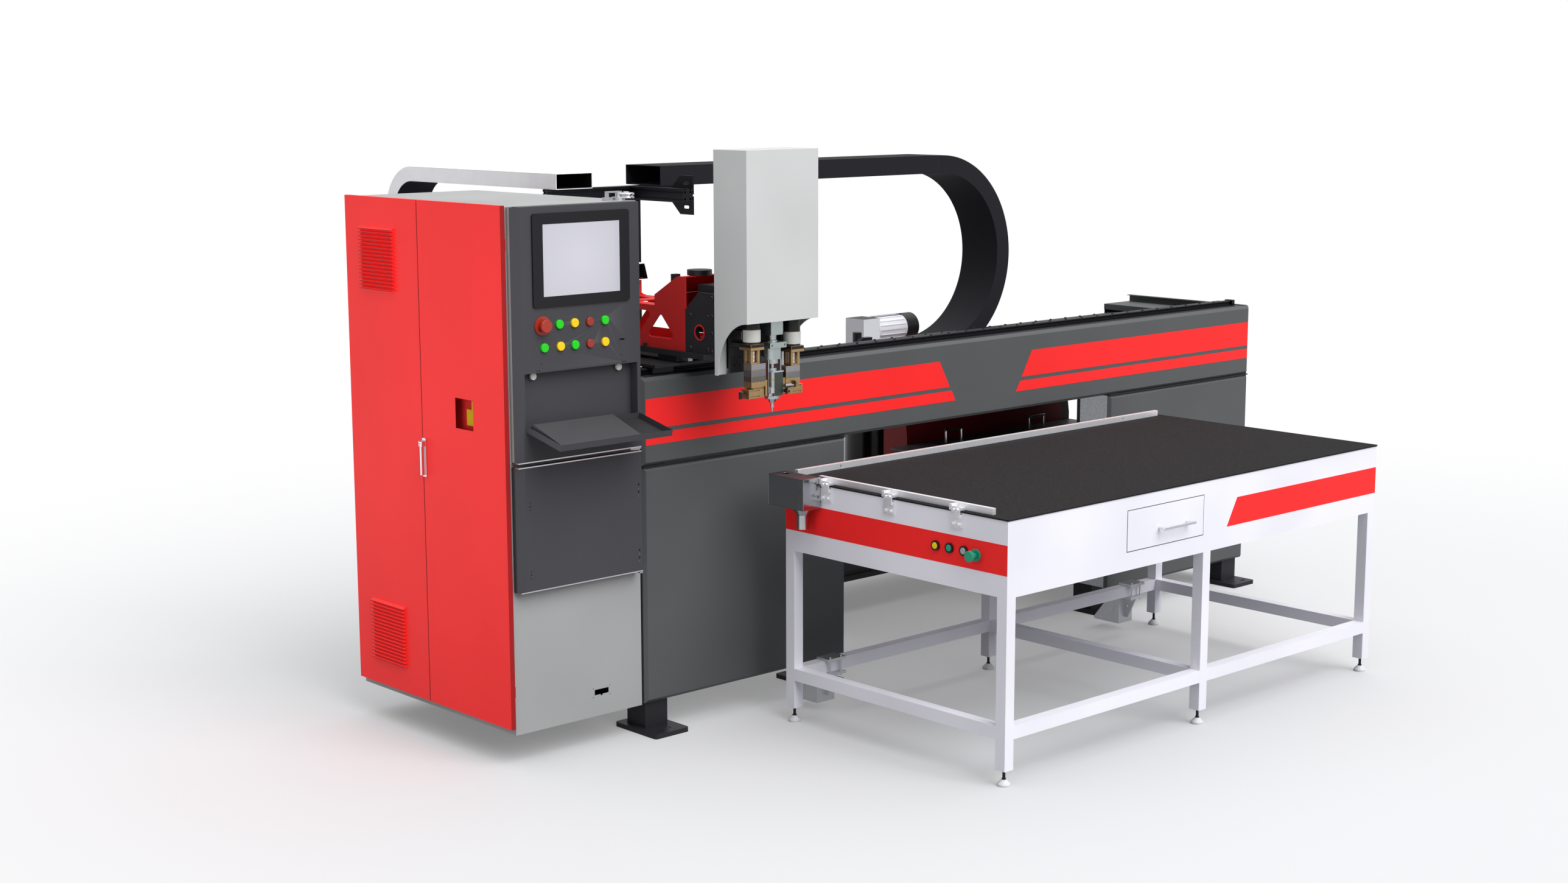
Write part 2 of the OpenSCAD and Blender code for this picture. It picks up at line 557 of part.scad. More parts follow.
module console_housing() {
  t = 3;
  color(grey_con) {
    // front sheet above the recess, with its holes
    difference() {
      box(con_x0, con_x1, con_y, con_y + t, rec_z1 + e, con_top);
      for (k = [1:4])
        cy(con_y - 1, con_y + t + 1, cols[k], row_a, cap_d / 2 + run);
      for (k = [0:4])
        cy(con_y - 1, con_y + t + 1, colb[k], row_b, cap_d / 2 + run);
      cy(con_y - 1, con_y + t + 1, cols[0], row_a, 11);
      box(-145, -121, con_y - 1, con_y + t + 1, row_b - 10, row_b + 12);
      for (x = [-555, -545, -132, -122])
        cy(con_y - 1, con_y + t + 1, x, rec_z1 + 8, 1.5);
    }
    // sheets beside and below the recess, with the hinge knuckles of the tray
    box(con_x0, rec_x0, con_y, con_y + t, rec_z0, rec_z1);
    box(rec_x1, con_x1, con_y, con_y + t, rec_z0, rec_z1);
    box(con_x0, con_x1, con_y, con_y + t, con_mid, rec_z0 - e);
    for (x = [-480, -270]) {
      box(x, x + 80, con_y - 1, con_y - e, tray_h - 26, tray_h);
      difference() {
        cx(x, x + 80, tray_y, tray_h, 2.4);
        cx(x - 1, x + 81, tray_y, tray_h, 1.25);
      }
    }
    // slanted left edge and its return
    pz(con_mid, con_top, [[con_x0 - 29, con_y + 28], [con_x0 - e, con_y], [con_x0 - e, con_y + t],
      [con_x0 - 29 + t, con_y + 29]]);
    box(con_x0 - 29, con_x0 - 29 + t, con_y + 29 + e, cab_y0 - e, con_mid, con_top);
    box(con_x1 - t, con_x1, con_y + t + e, cab_y0 - e, con_mid, con_top);
    for (z = [con_mid, con_top - t])
      box(con_x0, con_x1 - t - e, con_y + t + e, cab_y0 - e, z, z + t);
    // walls of the recess
    box(rec_x0 - t, rec_x1 + t, cab_y0 - 5, cab_y0 - 2, rec_z0 - t, rec_z1 + t);
    for (z = [rec_z0 - t, rec_z1])
      box(rec_x0 - t, rec_x1 + t, con_y + t + e, cab_y0 - 5 - e, z + (z < rec_z1 ? -e : e),
        z + t + (z < rec_z1 ? -e : e));
    for (x = [rec_x0 - t, rec_x1])
      box(x, x + t, con_y + t + e, cab_y0 - 5 - e, rec_z0 + e, rec_z1);
  }
  // pin of the tray hinge
  color(steel) cx(-545, -100, tray_y, tray_h, 1.2);
  // catches that hold the folded tray
  color("#D8D8D4") for (x = [-550, -127]) {
    cy(cab_y0 - 22, cab_y0 - 12, x, rec_z1 - 16, 14);
    box(x - 8, x + 8, cab_y0 - 22, cab_y0 - 12, rec_z1 - 12, rec_z1);
  }
  // bezel of the screen
  color("#333336") difference() {
    py(con_y - 8, con_y - e, rounded(rect(glass_x - glass_w / 2 - 49, glass_x + glass_w / 2 + 49,
      glass_z - glass_h / 2 - 40, glass_z + glass_h / 2 + 42), 12, 6));
    box(glass_x - glass_w / 2 - 0.3, glass_x + glass_w / 2 + 0.3, con_y - 9, con_y - 3,
      glass_z - glass_h / 2 - 0.3, glass_z + glass_h / 2 + 0.3);
  }
  // collar of the emergency stop and the socket beside the buttons
  color("#E2B400") difference() {
    cy(con_y - 6, con_y - e, cols[0], row_a, 37);
    cy(con_y - 7, con_y, cols[0], row_a, 11);
  }
  color(black) box(-144.9, -121.1, con_y + 1, con_y + 20, row_b - 9.9, row_b + 11.9);
  // hinge pins of the lower door
  color("#D9DBDD") {
    box(con_x1 - 54, con_x1, con_y + t + e, con_y + 16, con_mid - 7, con_mid - e);
    cz(con_mid - 24, con_mid - 7, con_x1 - 6, con_y + 8, 2.5);
    box(con_x1 - 14, con_x1, con_y + 2, cab_y0 - e, ldoor_z0 - 8, ldoor_z0 - 2);
    cz(ldoor_z0 - 2, ldoor_z0 + 12, con_x1 - 6, con_y + 8, 2.5);
  }
}

module screen_glass() color("#D5D5DC")
  box(glass_x - glass_w / 2, glass_x + glass_w / 2, con_y - 7, con_y - 3 - e,
    glass_z - glass_h / 2, glass_z + glass_h / 2);

module console_lower_door() color(grey_con) {
  t = 2;
  difference() {
    box(con_x0, con_x1 - 1, con_y, con_y + t, ldoor_z0, ldoor_z1);
    for (z = [345, 315, 76, 45])
      cy(con_y - 1, con_y + t + 1, rec_x1, ldoor_z0 + z, 2.2);
    for (z = [341, 329, 69, 56])
      cy(con_y - 1, con_y + t + 1, rec_x0 + 13, ldoor_z0 + z, 2.2);
  }
  pz(ldoor_z0, ldoor_z1, [[con_x0 - 29, con_y + 28], [con_x0 - e, con_y], [con_x0 - e, con_y + t],
    [con_x0 - 29 + t, con_y + 29]]);
  box(con_x0 - 29, con_x0 - 29 + t, con_y + 29 + e, cab_y0 - 1, ldoor_z0, ldoor_z1);
  // upper and lower returns with the hinge bores
  for (z = [ldoor_z0, ldoor_z1 - t])
    difference() {
      box(con_x0, con_x1 - 1, con_y + t + e, con_y + 20, z, z + t);
      cz(z - 1, z + t + 1, con_x1 - 6, con_y + 8, 2.56);
    }
}

// everything that lies on the tray is drawn from its hinge line
module on_tray() translate([0, tray_y, tray_h]) rotate([tray_tilt, 0, 0]) children();

module keyboard_tray() color(grey_con) on_tray() {
  x0 = rec_x0 + 2;
  x1 = rec_x1 - 2;
  box(x0, x1, -tray_d, -4.4, 2.6, 4.6);
  box(x0, x1, -tray_d, -tray_d + 2, 4.6 + e, 27.6);
  box(x0, x1, -6.4, -4.4, 4.6 + e, 27.6);
  for (x = [x0, x1 - 2])
    box(x, x + 2, -tray_d + 2 + e, -6.4 - e, 4.6 + e, 27.6);
  // hinge lugs on both sides of the fixed knuckles
  for (x = [-540, -390, -180]) difference() {
    union() {
      cx(x, x + 50, 0, 0, 2.3);
      box(x, x + 50, -16, -1.2, -1, 2.6 - e);
    }
    cx(x - 1, x + 51, 0, 0, 1.26);
  }
}

module keyboard() color("#8F9090") on_tray()
  px(rec_x0 + 18, rec_x0 + 408, [[-206, 4.7], [-206, 14], [-204, 20], [-14, 39.2], [-12, 38],
    [-12, 4.7]]);

// cap of a push button, seen from the front, with its stem
module cap(x, z, d, c) color(c) {
  cy(con_y - 10, con_y + 6, x, z, d / 2);
  cy(con_y + 6, con_y + 22, x, z, 8);
}
module emergency_stop() color("#A02A18") {
  cy(con_y - 34, con_y - 20, cols[0], row_a, estop_d / 2);
  cy(con_y - 20, con_y - 14, cols[0], row_a, estop_d / 2 - 7);
  cy(con_y - 14, con_y + 20, cols[0], row_a, 10);
}

// DUCT ALONG THE BEAM

// duct of four walls along X or Y: s is how much it is smaller all round, w its wall
module tube_x(x0, x1, z, s, w) {
  y0 = xd_y + s;
  y1 = xd_y + xduct_w - s;
  for (c = [z + s, z + xduct_h - s - w])
    box(x0, x1, y0, y1, c, c + w);
  for (c = [y0, y1 - w])
    box(x0, x1, c, c + w, z + s + w + e, z + xduct_h - s - w - e);
}
module tube_y(y0, y1, z, s, w) {
  x0 = yd_x + s;
  x1 = yd_x + yduct_w - s;
  for (c = [z + s, z + yduct_h - s - w])
    box(x0, x1, y0, y1, c, c + w);
  for (c = [x0, x1 - w])
    box(c, c + w, y0, y1, z + s + w + e, z + yduct_h - s - w - e);
}

module x_duct_lower() color("#38383C") {
  tube_x(xd_fix, xd_xb - 2, xd_low, 0, duct_t);
  box(xd_fix - 4, xd_fix - e, xd_y, xd_y + xduct_w, tray_z + 8 + e, xd_low + xduct_h);
  for (y = [xd_y + 4, xd_y + xduct_w - 24])
    box(xd_fix, xd_xb - 2, y, y + 20, tray_z + 8 + e, xd_low - e);
}
module x_duct_upper() color("#38383C") tube_x(xd_x0, xd_xb - 1, ovh_top + e, 0, duct_t);
module x_duct_bend() color("#38383C") {
  translate([xd_xb, xd_y + xduct_w, xd_c]) rotate([90, 0, 0]) rotate([0, 0, -90])
    rotate_extrude(angle = 180, $fn = 96) difference() {
      translate([xd_r - xduct_h, 0]) square([xduct_h, xduct_w]);
      translate([xd_r - xduct_h + duct_t, duct_t]) square([xduct_h - 2 * duct_t, xduct_w - 2 * duct_t]);
    }
  // inner sleeve of the lower run
  tube_x(xd_xb - 1330, xd_xb, xd_low, duct_t + run, 2);
}

// DUCT ALONG THE ARM

module y_duct_lower() color("#E4E2EA") {
  difference() {
    tube_y(yd_y0 - 387, yd_yb - 64, yd_low, 0, duct_t);
    // slanted open end
    px(yd_x - 1, yd_x + yduct_w + 1, [[yd_y0 - 388, yd_low - 1], [yd_y0 - 387, yd_low - 1],
      [yd_y0 - 362, yd_low + yduct_h + 1], [yd_y0 - 388, yd_low + yduct_h + 1]]);
  }
}
module y_duct_upper() color("#E4E2EA") tube_y(yd_y0, yd_yb - 1, ovh_top + e, 0, duct_t);
module y_duct_bend() color("#E4E2EA") {
  translate([yd_x, yd_yb, yd_c]) rotate([90, 0, 90]) rotate([0, 0, -90])
    rotate_extrude(angle = 180, $fn = 96) difference() {
      translate([yd_r - yduct_h, 0]) square([yduct_h, yduct_w]);
      translate([yd_r - yduct_h + duct_t, duct_t]) square([yduct_h - 2 * duct_t, yduct_w - 2 * duct_t]);
    }
  // inner sleeve of the lower run, and a liner that reaches into the upper run
  tube_y(yd_yb - 645, yd_yb, yd_low, duct_t + run, 2);
  tube_y(yd_yb - 130, yd_yb, ovh_top + e, duct_t + run, 2);
}

// SADDLE AND OVERHEAD FRAME

module saddle() color("#2A2A2C") {
  x0 = 100;
  x1 = x0 + saddle_l;
  difference() {
    box(x0, x1, 40, 1000, sad_z, sad_z + saddle_t);
    for (x = [x0 + 30, x1 - 30], y = [rail_y0 - 16, rail_y0 + 16, rail_y1 - 16, rail_y1 + 16])
      cz(sad_z - 1, sad_z + saddle_t + 1, x, y, 4.5);
  }
  // blocks that ride on the beam's rails
  for (x = [x0 + 10, x1 - 120], r = [[rail_y0, beam_top], [rail_y1, rear_top]])
    let (y = r[0], t = r[1]) {
      box(x, x + 110, y - 35, y + 35, t + rail_h + run, t + rail_h + 6 - e);
      for (s = [-1, 1])
        box(x, x + 110, y + s * (rail_w / 2 + 9.2) - 8.7, y + s * (rail_w / 2 + 9.2) + 8.7,
          t + 4, t + rail_h + run - e);
    }
  // risers between the saddle plate and the blocks on the lower rear rail
  for (x = [x0 + 20, x1 - 110])
    box(x, x + 90, rail_y1 - 28, rail_y1 + 28, rear_top + rail_h + 6, sad_z - e);
  // blocks for the arm's rails, open at the top
  for (x = [yr_x0, yr_x1], y = [60, 640]) {
    box(x - 30, x + 30, y, y + 120, sad_z + saddle_t + e, arm_z - 22);
    for (s = [-1, 1])
      box(x + s * 21.5 - 8.5, x + s * 21.5 + 8.5, y, y + 120, arm_z - 22 + e, arm_z - 4);
  }
}

// grooved square extrusion, drawn from z = 0 upward on the X and Y origin
module ext(len) linear_extrude(len) difference() {
  square(ext_w);
  for (a = [0:3], k = [-1, 1])
    translate([ext_w / 2, ext_w / 2]) rotate(90 * a) translate([k * ext_w / 4 - 4, ext_w / 2 - 6])
      square([8, 7]);
  for (x = [1, 3], y = [1, 3])
    translate([x * ext_w / 4, y * ext_w / 4]) circle(5);
}

module overhead_frame() {
  color(black) {
    translate([mast_x, mast_y, sad_z + saddle_t + e]) ext(mast_h - 2 * e);
    translate([247, mast_y, ovh_top]) rotate([0, 90, 0]) ext(803);
    translate([mast_x, mast_y - e, ovh_z]) rotate([90, 0, 0]) ext(369);
  }
  // gussets at the front end of the cross piece, above and below
  color("#2E2E30") for (s = [0, 1]) translate([0, 0, s * (2 * ovh_z + ext_w)]) mirror([0, 0, s])
    difference() {
      px(mast_x + ext_w + e, mast_x + ext_w + 6, [[558, ovh_z + 26], [708, ovh_z + 26], [708, ovh_z],
        [646, ovh_z - 56], [558, ovh_z - 56]]);
      translate([mast_x + ext_w - 1, 0, 0]) rotate([90, 0, 90]) linear_extrude(9)
        polygon(rounded(rect(585, 625, ovh_z - 30, ovh_z - 16), 6.9, 8));
      for (y = [590, 670])
        cx(mast_x + ext_w - 1, mast_x + ext_w + 8, y, ovh_z + 14, 4.5);
    }
  // foot of the mast
  color("#2E2E30") for (s = [-1, 1])
    py(mast_y + 10, mast_y + 50, [[mast_x + (s + 1) / 2 * ext_w + s * e, sad_z + saddle_t + e],
      [mast_x + (s + 1) / 2 * ext_w + s * 42, sad_z + saddle_t + e],
      [mast_x + (s + 1) / 2 * ext_w + s * e, sad_z + saddle_t + 42]]);
}

// ARM

module arm_side(x) difference() {
  px(x, x + arm_t, rect(arm_y0, arm_y1, tr_z + arm_t + e, tr_top - arm_t - e));
  // windows, point up and point down in turn
  for (k = [0:5])
    px(x - 1, x + arm_t + 1, rounded([[158 + window_p * k - 98, tr_z + 42],
      [158 + window_p * k + 98, tr_z + 42], [158 + window_p * k, tr_z + 146]], 14));
  for (k = [1:5])
    px(x - 1, x + arm_t + 1, rounded([[7 + window_p * k - 98, tr_z + 151],
      [7 + window_p * k, tr_z + 47], [7 + window_p * k + 98, tr_z + 151]], 14));
  for (y = [150, 186, 222])
    cx(x - 1, x + arm_t + 1, y, tr_z + 22, 4);
}

module arm_truss() color("#C82020") {
  arm_side(arm_x0);
  arm_side(arm_x1 - arm_t);
  difference() {
    box(arm_x0, arm_x1, arm_y0, arm_y1, tr_top - arm_t, tr_top);
    for (k = [0:7])
      box(arm_x0 + 60, arm_x1 - 60, 250 + 200 * k, 390 + 200 * k, tr_top - arm_t - 1, tr_top + 1);
  }
  box(arm_x0, arm_x1, arm_y0, arm_y1, tr_z + e, tr_z + arm_t);
  box(arm_x0 + arm_t + e, arm_x1 - arm_t - e, arm_y1 - 5, arm_y1, tr_z + arm_t + e,
    tr_top - arm_t - e);
  // three stands for the duct
  for (y = [540, 1180, 1800]) {
    box(arm_x0 + 16, arm_x1 - 16, y, y + 50, tr_top + e, tr_top + 5);
    box(arm_x0 + 16, arm_x1 - 16, y, y + 50, yd_low - 4, yd_low - e);
    for (x = [arm_x0 + 30, arm_x1 - 50])
      box(x, x + 20, y + 15, y + 35, tr_top + 5 + e, yd_low - 4 - e);
  }
  // hood over the axis drive: two sides, sloped back and top
  for (x = [arm_x0, arm_x1 - 3])
    px(x, x + 3, [[197, tr_top + e], [197, tr_top + 44], [50, tr_top + 128], [-8, tr_top + 131],
      [-8, tr_top + e]]);
  px(arm_x0 + 3 + e, arm_x1 - 3 - e, [[197, tr_top + 41], [197, tr_top + 44], [50, tr_top + 128],
    [50, tr_top + 125]]);
  px(arm_x0 + 3 + e, arm_x1 - 3 - e, [[50 - e, tr_top + 125], [50 - e, tr_top + 128],
    [-8, tr_top + 131], [-8, tr_top + 128]]);
  box(arm_x0 + 3 + e, arm_x1 - 3 - e, 194, 197, tr_top + e, tr_top + 41 - e);
  // rings around the large bores of the head bracket
  for (x = [arm_x0 - 4 - e, arm_x1 + 2 + e])
    translate([x, -95, tr_z + 86]) rotate([0, 90, 0]) ring(0, 2, 0, 0, 33, 27);
}

module arm_carrier() {
  color("#1F1F21") {
    // base plate with chamfered front corner, and the rails below it
    difference() {
      pz(arm_z, tr_z - e, [[arm_x0 - 17, arm_y1], [arm_x0 - 17, -134], [arm_x0 + 28, -179],
        [arm_x1 - 28, -179], [arm_x1 + 17, -134], [arm_x1 + 17, arm_y1]]);
      for (y = [-150, 40, 560, 1200, 1820], x = [arm_x0 + 8, arm_x1 - 8])
        if (y > -100) cz(arm_z - 1, tr_z + 1, x, y, 5);
    }
    // side plates of the head bracket
    for (x = [arm_x0 - 2, arm_x1 - 18]) difference() {
      px(x, x + 20, [[-4.2, tr_z], [-4.2, tr_top], [-9, tr_top], [-85, tr_top + 71], [-85, tr_top + 73],
        [-250, tr_top + 73], [-250, tr_z]]);
      cx(x - 1, x + 21, -95, tr_z + 86, 27);
      for (p = [[-40, 153], [-148, 154], [-40, 19.5], [-148, 19.5], [-175, 232], [-175, 159],
        [-175, 86], [-175, 13]])
        cx(x - 1, x + 21, p[0], tr_z + p[1], 5);
    }
    // column behind the head: back plate, guide rails, drive on top
    box(mix_x - 163, mix_x + 163, pl_y + e, pl_y + 15.9, tr_z - 45, tr_z + 560);
    for (s = [-1, 1])
      box(mix_x + s * 100 - 10, mix_x + s * 100 + 10, pl_y - 19, pl_y - e, tr_z - 40, tr_z + 555);
    box(mix_x - 40, mix_x + 40, pl_y - 64, pl_y - 4, tr_z + 562, tr_z + 680);
    box(mix_x - 70, mix_x + 70, pl_y - 70, pl_y + 15.9, tr_z + 560 + e, tr_z + 562 - e);
    // drive of the arm in the hood
    box(arm_x0 + 40, arm_x1 - 40, -154, -37, tr_z + 90, tr_top + 100);
    box(arm_x0 + 18 + e, arm_x1 - 18 - e, -170, -10, tr_z + 84, tr_z + 90 - e);
  }
  color("#B8BABD") for (x = [yr_x0, yr_x1])
    box(x - 12, x + 12, arm_y0 + 10, arm_y1 - 20, arm_z - 21, arm_z - e);
  // round box, sensor and its rod on the hood
  color("#1F1F21") {
    cz(tr_top + 131 + e, tr_top + 153, mix_x - 24, 22, 52);
    px(arm_x0 + 6, arm_x0 + 36, [[70, tr_top + 116.8], [96, tr_top + 102], [96, tr_top + 136],
      [70, tr_top + 136]]);
    box(arm_x0 - 12, arm_x0 - e, 248, 262, tr_z + e, tr_z + 14);
  }
}

// HEAD COVER

module cover_side(x) px(x, x + 3, concat([[cov_y1, cov_z], [cov_y1, cov_z + cover_h],
  [cov_y0 + 3 + e, cov_z + cover_h], [cov_y0 + 3 + e, cov_z + 220]],
  [for (k = [1:15]) [cov_y0 + 176 * sin(6 * k), cov_z + 220 * cos(6 * k)]]));

module z_cover() color("#D2D4D3") {
  cover_side(cov_x0);
  cover_side(cov_x1 - 3);
  box(cov_x0, cov_x1, cov_y0, cov_y0 + 3, cov_z + 220, cov_z + cover_h);
  box(cov_x0 + 3 + e, cov_x1 - 3 - e, cov_y0 + 3 + e, cov_y1, cov_z + cover_h - 3, cov_z + cover_h);
  // returned rear flanges
  box(cov_x0 + 3 + e, cov_x0 + 60, cov_y1 - 3, cov_y1, cov_z, cov_z + cover_h - 3 - e);
  box(cov_x1 - 60, cov_x1 - 3 - e, cov_y1 - 3, cov_y1, cov_z, cov_z + cover_h - 3 - e);
}

// HEAD

hp_y = pl_y - 34;                    // front of the head plate
mz = tr_z;                           // heights on the head are drawn from here

module head_plate() {
  color("#2B2B2E") difference() {
    box(mix_x - 140, mix_x + 140, hp_y, hp_y + 12, mz - 60, mz + 507);
    for (x = [-120, -90, -55, 0, 55, 90, 120], z = [-30, 2, 60, 120])
      cy(hp_y - 1, hp_y + 13, mix_x + x, mz + z, 3.5);
  }
  // slider blocks around the rails of the column
  color("#5A5C5F") for (s = [-1, 1], z = [mz + 250, mz + 430]) {
    box(mix_x + s * 100 - 26, mix_x + s * 100 + 26, hp_y + 12 + e, pl_y - 19 - run, z, z + 70);
    for (k = [-1, 1])
      box(mix_x + s * 100 + k * 18.4 - 7.6, mix_x + s * 100 + k * 18.4 + 7.6, pl_y - 19 - run + e,
        pl_y - 1, z, z + 70);
  }
}

module mixer_body() {
  // drive of the mixer, collar, clamp and bearing block
  color("#6F7F80") {
    box(mix_x - 32, mix_x + 32, mix_y - 31, mix_y + 31, mz + 94, mz + 240);
    cz(mz + 64, mz + 72 - e, mix_x, mix_y, 22);
    difference() {
      box(mix_x - 41, mix_x + 48, mix_y - 35, mix_y + 20, mz + 41, mz + 64 - e);
      for (x = [-30, 38])
        cy(mix_y - 36, mix_y - 27, mix_x + x, mz + 52.5, 4.5);
    }
    pz(mz - 7, mz + 41 - e, concat([[mix_x - 30, mix_y + 16]],
      [for (a = [180:15:270]) [mix_x - 8 + 22 * cos(a), mix_y + 2 + 22 * sin(a)]],
      [[mix_x + 30, mix_y - 20], [mix_x + 30, mix_y + 16]]));
    cz(mz - 23, mz - 7 - e, mix_x, mix_y, 25);
    cz(mz - 53, mz - 41 - e, mix_x, mix_y, 19);
    box(mix_x - 9, mix_x + 42, mix_y - 24, mix_y + 28, mz - 59, mz - 53 - e);
  }
  color("#2B2B2E") {
    box(mix_x - 24, mix_x + 24, mix_y + 31 + e, hp_y - e, mz + 100, mz + 230);
    box(mix_x - 24, mix_x + 24, mix_y + 20 + e, hp_y - e, mz + 42, mz + 62);
    box(mix_x - 24, mix_x + 24, mix_y + 16 + e, hp_y - e, mz - 4, mz + 38);
  }
  // shaft in the gap, side plates, chamber and valve block
  color(steel) cz(mz - 41, mz - 23 - e, mix_x, mix_y, 8);
  color("#B4B8BA") {
    px(mix_x - 34.1, mix_x - 30.1, [[mix_y - 16, mz - 6], [mix_y + 24, mz + 8], [mix_y + 30, mz + 8],
      [mix_y + 30, mz - 140], [mix_y - 16, mz - 140]]);
    px(mix_x + 30.1, mix_x + 34.1, [[mix_y - 18, mz - 6], [mix_y + 24, mz + 8], [mix_y + 30, mz + 8],
      [mix_y + 30, mz - 53], [mix_y - 18, mz - 53]]);
    box(mix_x - 30, mix_x - 7 - e, mix_y - 13.9, mix_y + 26, mz - 154, mz - 53 - e);
    box(mix_x - 30, mix_x - 10, mix_y - 25, mix_y - 14, mz - 142, mz - 116);
  }
  color("#5A6457") box(mix_x - 7, mix_x + 40, mix_y - 22, mix_y + 26, mz - 154, mz - 59 - e);
  color(steel) {
    cz(mz - 116 + e, mz - 88 - e, mix_x - 20, mix_y - 24, 9.2);
    cz(mz - 80 + e, mz - 53, mix_x - 20, mix_y - 24, 8.8);
  }
  color("#D8B93A") cz(mz - 88, mz - 80, mix_x - 20, mix_y - 24, 9.8);
  // flange and nozzle
  color("#B9BCBE") difference() {
    union() {
      cz(mz - 166, mz - 154 - e, mix_x, mix_y, 30);
      translate([mix_x, mix_y, mz - 182]) cylinder(h = 16, r1 = 13, r2 = 18);
      cz(mz - 193, mz - 182, mix_x, mix_y, 6);
      cz(mz - 203, mz - 193, mix_x, mix_y, 7.6);
      cz(mz - 208 - tip_l, mz - 203, mix_x, mix_y, 3.4);
    }
    cz(mz - 209 - tip_l, mz - 153, mix_x, mix_y, tip_bore / 2);
  }
}

// a block beside a pump's axis, measured towards the mixer
module inward(s, a, b, y0, y1, z0, z1) {
  x = mix_x + s * pump_x;
  box(min(x - s * a, x - s * b), max(x - s * a, x - s * b), mix_y + y0, mix_y + y1, z0, z1);
}
// top of a pump's plates: three on the left, two on the right
function pump_z(s) = mz - 88 + 24.3 * (s < 0 ? 3 : 2);

// dosing pump: s is -1 on the left and +1 on the right
module pump(s) {
  x = mix_x + s * pump_x;
  zt = pump_z(s);
  // motor with a pale band on a square flange
  color("#1E1E20") {
    cz(zt + 138, mz + 250, x, mix_y, 34);
    cz(zt + 81, zt + 88 - e, x, mix_y, 34);
    box(x - 35, x + 35, mix_y - 35, mix_y + 35, zt + 67, zt + 81 - e);
  }
  color("#E4E4E2") cz(zt + 88, zt + 138 - e, x, mix_y, 36);
  // open frame around the coupling
  color(bronze) {
    box(x - 35.5, x + 35.5, mix_y - 35.5, mix_y + 35.5, zt + 56, zt + 67 - e);
    for (a = [-1, 1], b = [-1, 1])
      box(x + a * 18 - 6, x + a * 18 + 6, mix_y + b * 16 - 6, mix_y + b * 16 + 6, zt + 6, zt + 56 - e);
    difference() {
      box(x - 24, x + 24, mix_y - 22, mix_y + 22, zt + e, zt + 6 - e);
      cz(zt - 1, zt + 7, x, mix_y, 9);
    }
  }
  // pump body in plates, with a bore for the shaft
  for (k = [0:s < 0 ? 2 : 1]) color(["#A3A3A3", "#868487", "#7A7672"][k]) difference() {
    inward(s, -23, 54, -24, 24, zt - 24.3 * (k + 1) + e, zt - 24.3 * k);
    if (k == 0) cz(zt - 17, zt + 1, x, mix_y, 8 + run);
  }
  // outlet block with its valve body
  color(bronze) {
    inward(s, -23, 54, -24, 24, mz - 112 + e, mz - 88 - e);
    inward(s, -10, 50, -20, 21, mz - 116 + e, mz - 112);
    difference() {
      inward(s, -37, 45, -24, 22, mz - 154, mz - 116);
      for (z = [mz - 125, mz - 149])
        inward(s, -30, 20, -25, -19, z, z + 5);
    }
    inward(s, 54 + e, 66, -20, 20, mz - 150, mz - 84);
  }
  // carriers between the pump and the head plate
  color("#2B2B2E") {
    box(x - 30, x + 30, mix_y + 35 + e, hp_y - e, zt + 68, zt + 80);
    box(x - 22, x + 22, mix_y + 36 + e, hp_y - e, zt + 95, zt + 130);
  }
}

module pumps() {
  pump(-1);
  pump(1);
  xl = mix_x - pump_x;
  xr = mix_x + pump_x;
  // pin and elbow of the left valve body
  color("#D9CDB4") cz(mz - 140, mz - 106, xl + 51, mix_y - 28, 4);
  color("#1E1E20") {
    cx(xl - 59 + e, xl - 37 - e, mix_y - 5, mz - 127, 5.5);
    cz(mz - 153, mz - 121, xl - 66, mix_y - 5, 7);
  }
  // air valve and elbows in front of the right one
  color(steel) {
    cx(xr - 68, xr - 39, mix_y - 32.5, mz - 116, 8.4);
    cx(xr - 35 + e, xr - 20, mix_y - 32.5, mz - 117, 4);
  }
  color("#D8B93A") cx(xr - 39 + e, xr - 35, mix_y - 32.5, mz - 116, 8.4);
  color("#1E1E20") {
    cz(mz - 125, mz - 98, xr - 14.4, mix_y - 32.5, 5.5);
    cy(mix_y - 46, mix_y - 20 - e, xr - 59, mz - 137, 7);
  }
}

// shaft coupling between a motor and its pump, with clamp slots
module coupling(s) {
  x = mix_x + s * pump_x;
  zt = pump_z(s);
  color("#C9CBCE") difference() {
    union() {
      cz(zt - 17 + run, zt + 56 - run, x, mix_y, 8);
      cz(zt + 8, zt + 50, x, mix_y, 14);
    }
    for (z = [zt + 20, zt + 36])
      box(x - 15, x + 3, mix_y - 15, mix_y + 15, z, z + 1.6);
    for (z = [zt + 14, zt + 43])
      cy(mix_y - 15, mix_y - 7, x + 8, z, 2);
  }
}
module mixer_rotor() color("#D9CDB4") {
  cz(mz + 72 + run, mz + 94 - run, mix_x, mix_y, 9);
  difference() {
    cz(mz + 74, mz + 92, mix_x, mix_y, 18.5);
    for (a = [0:45:315])
      translate([mix_x, mix_y, mz + 83]) rotate([90, 0, a]) cylinder(h = 19, r = 2);
  }
}

// TABLE

leg_xs = [tab_x0, 1795, tab_x1 - leg_w];
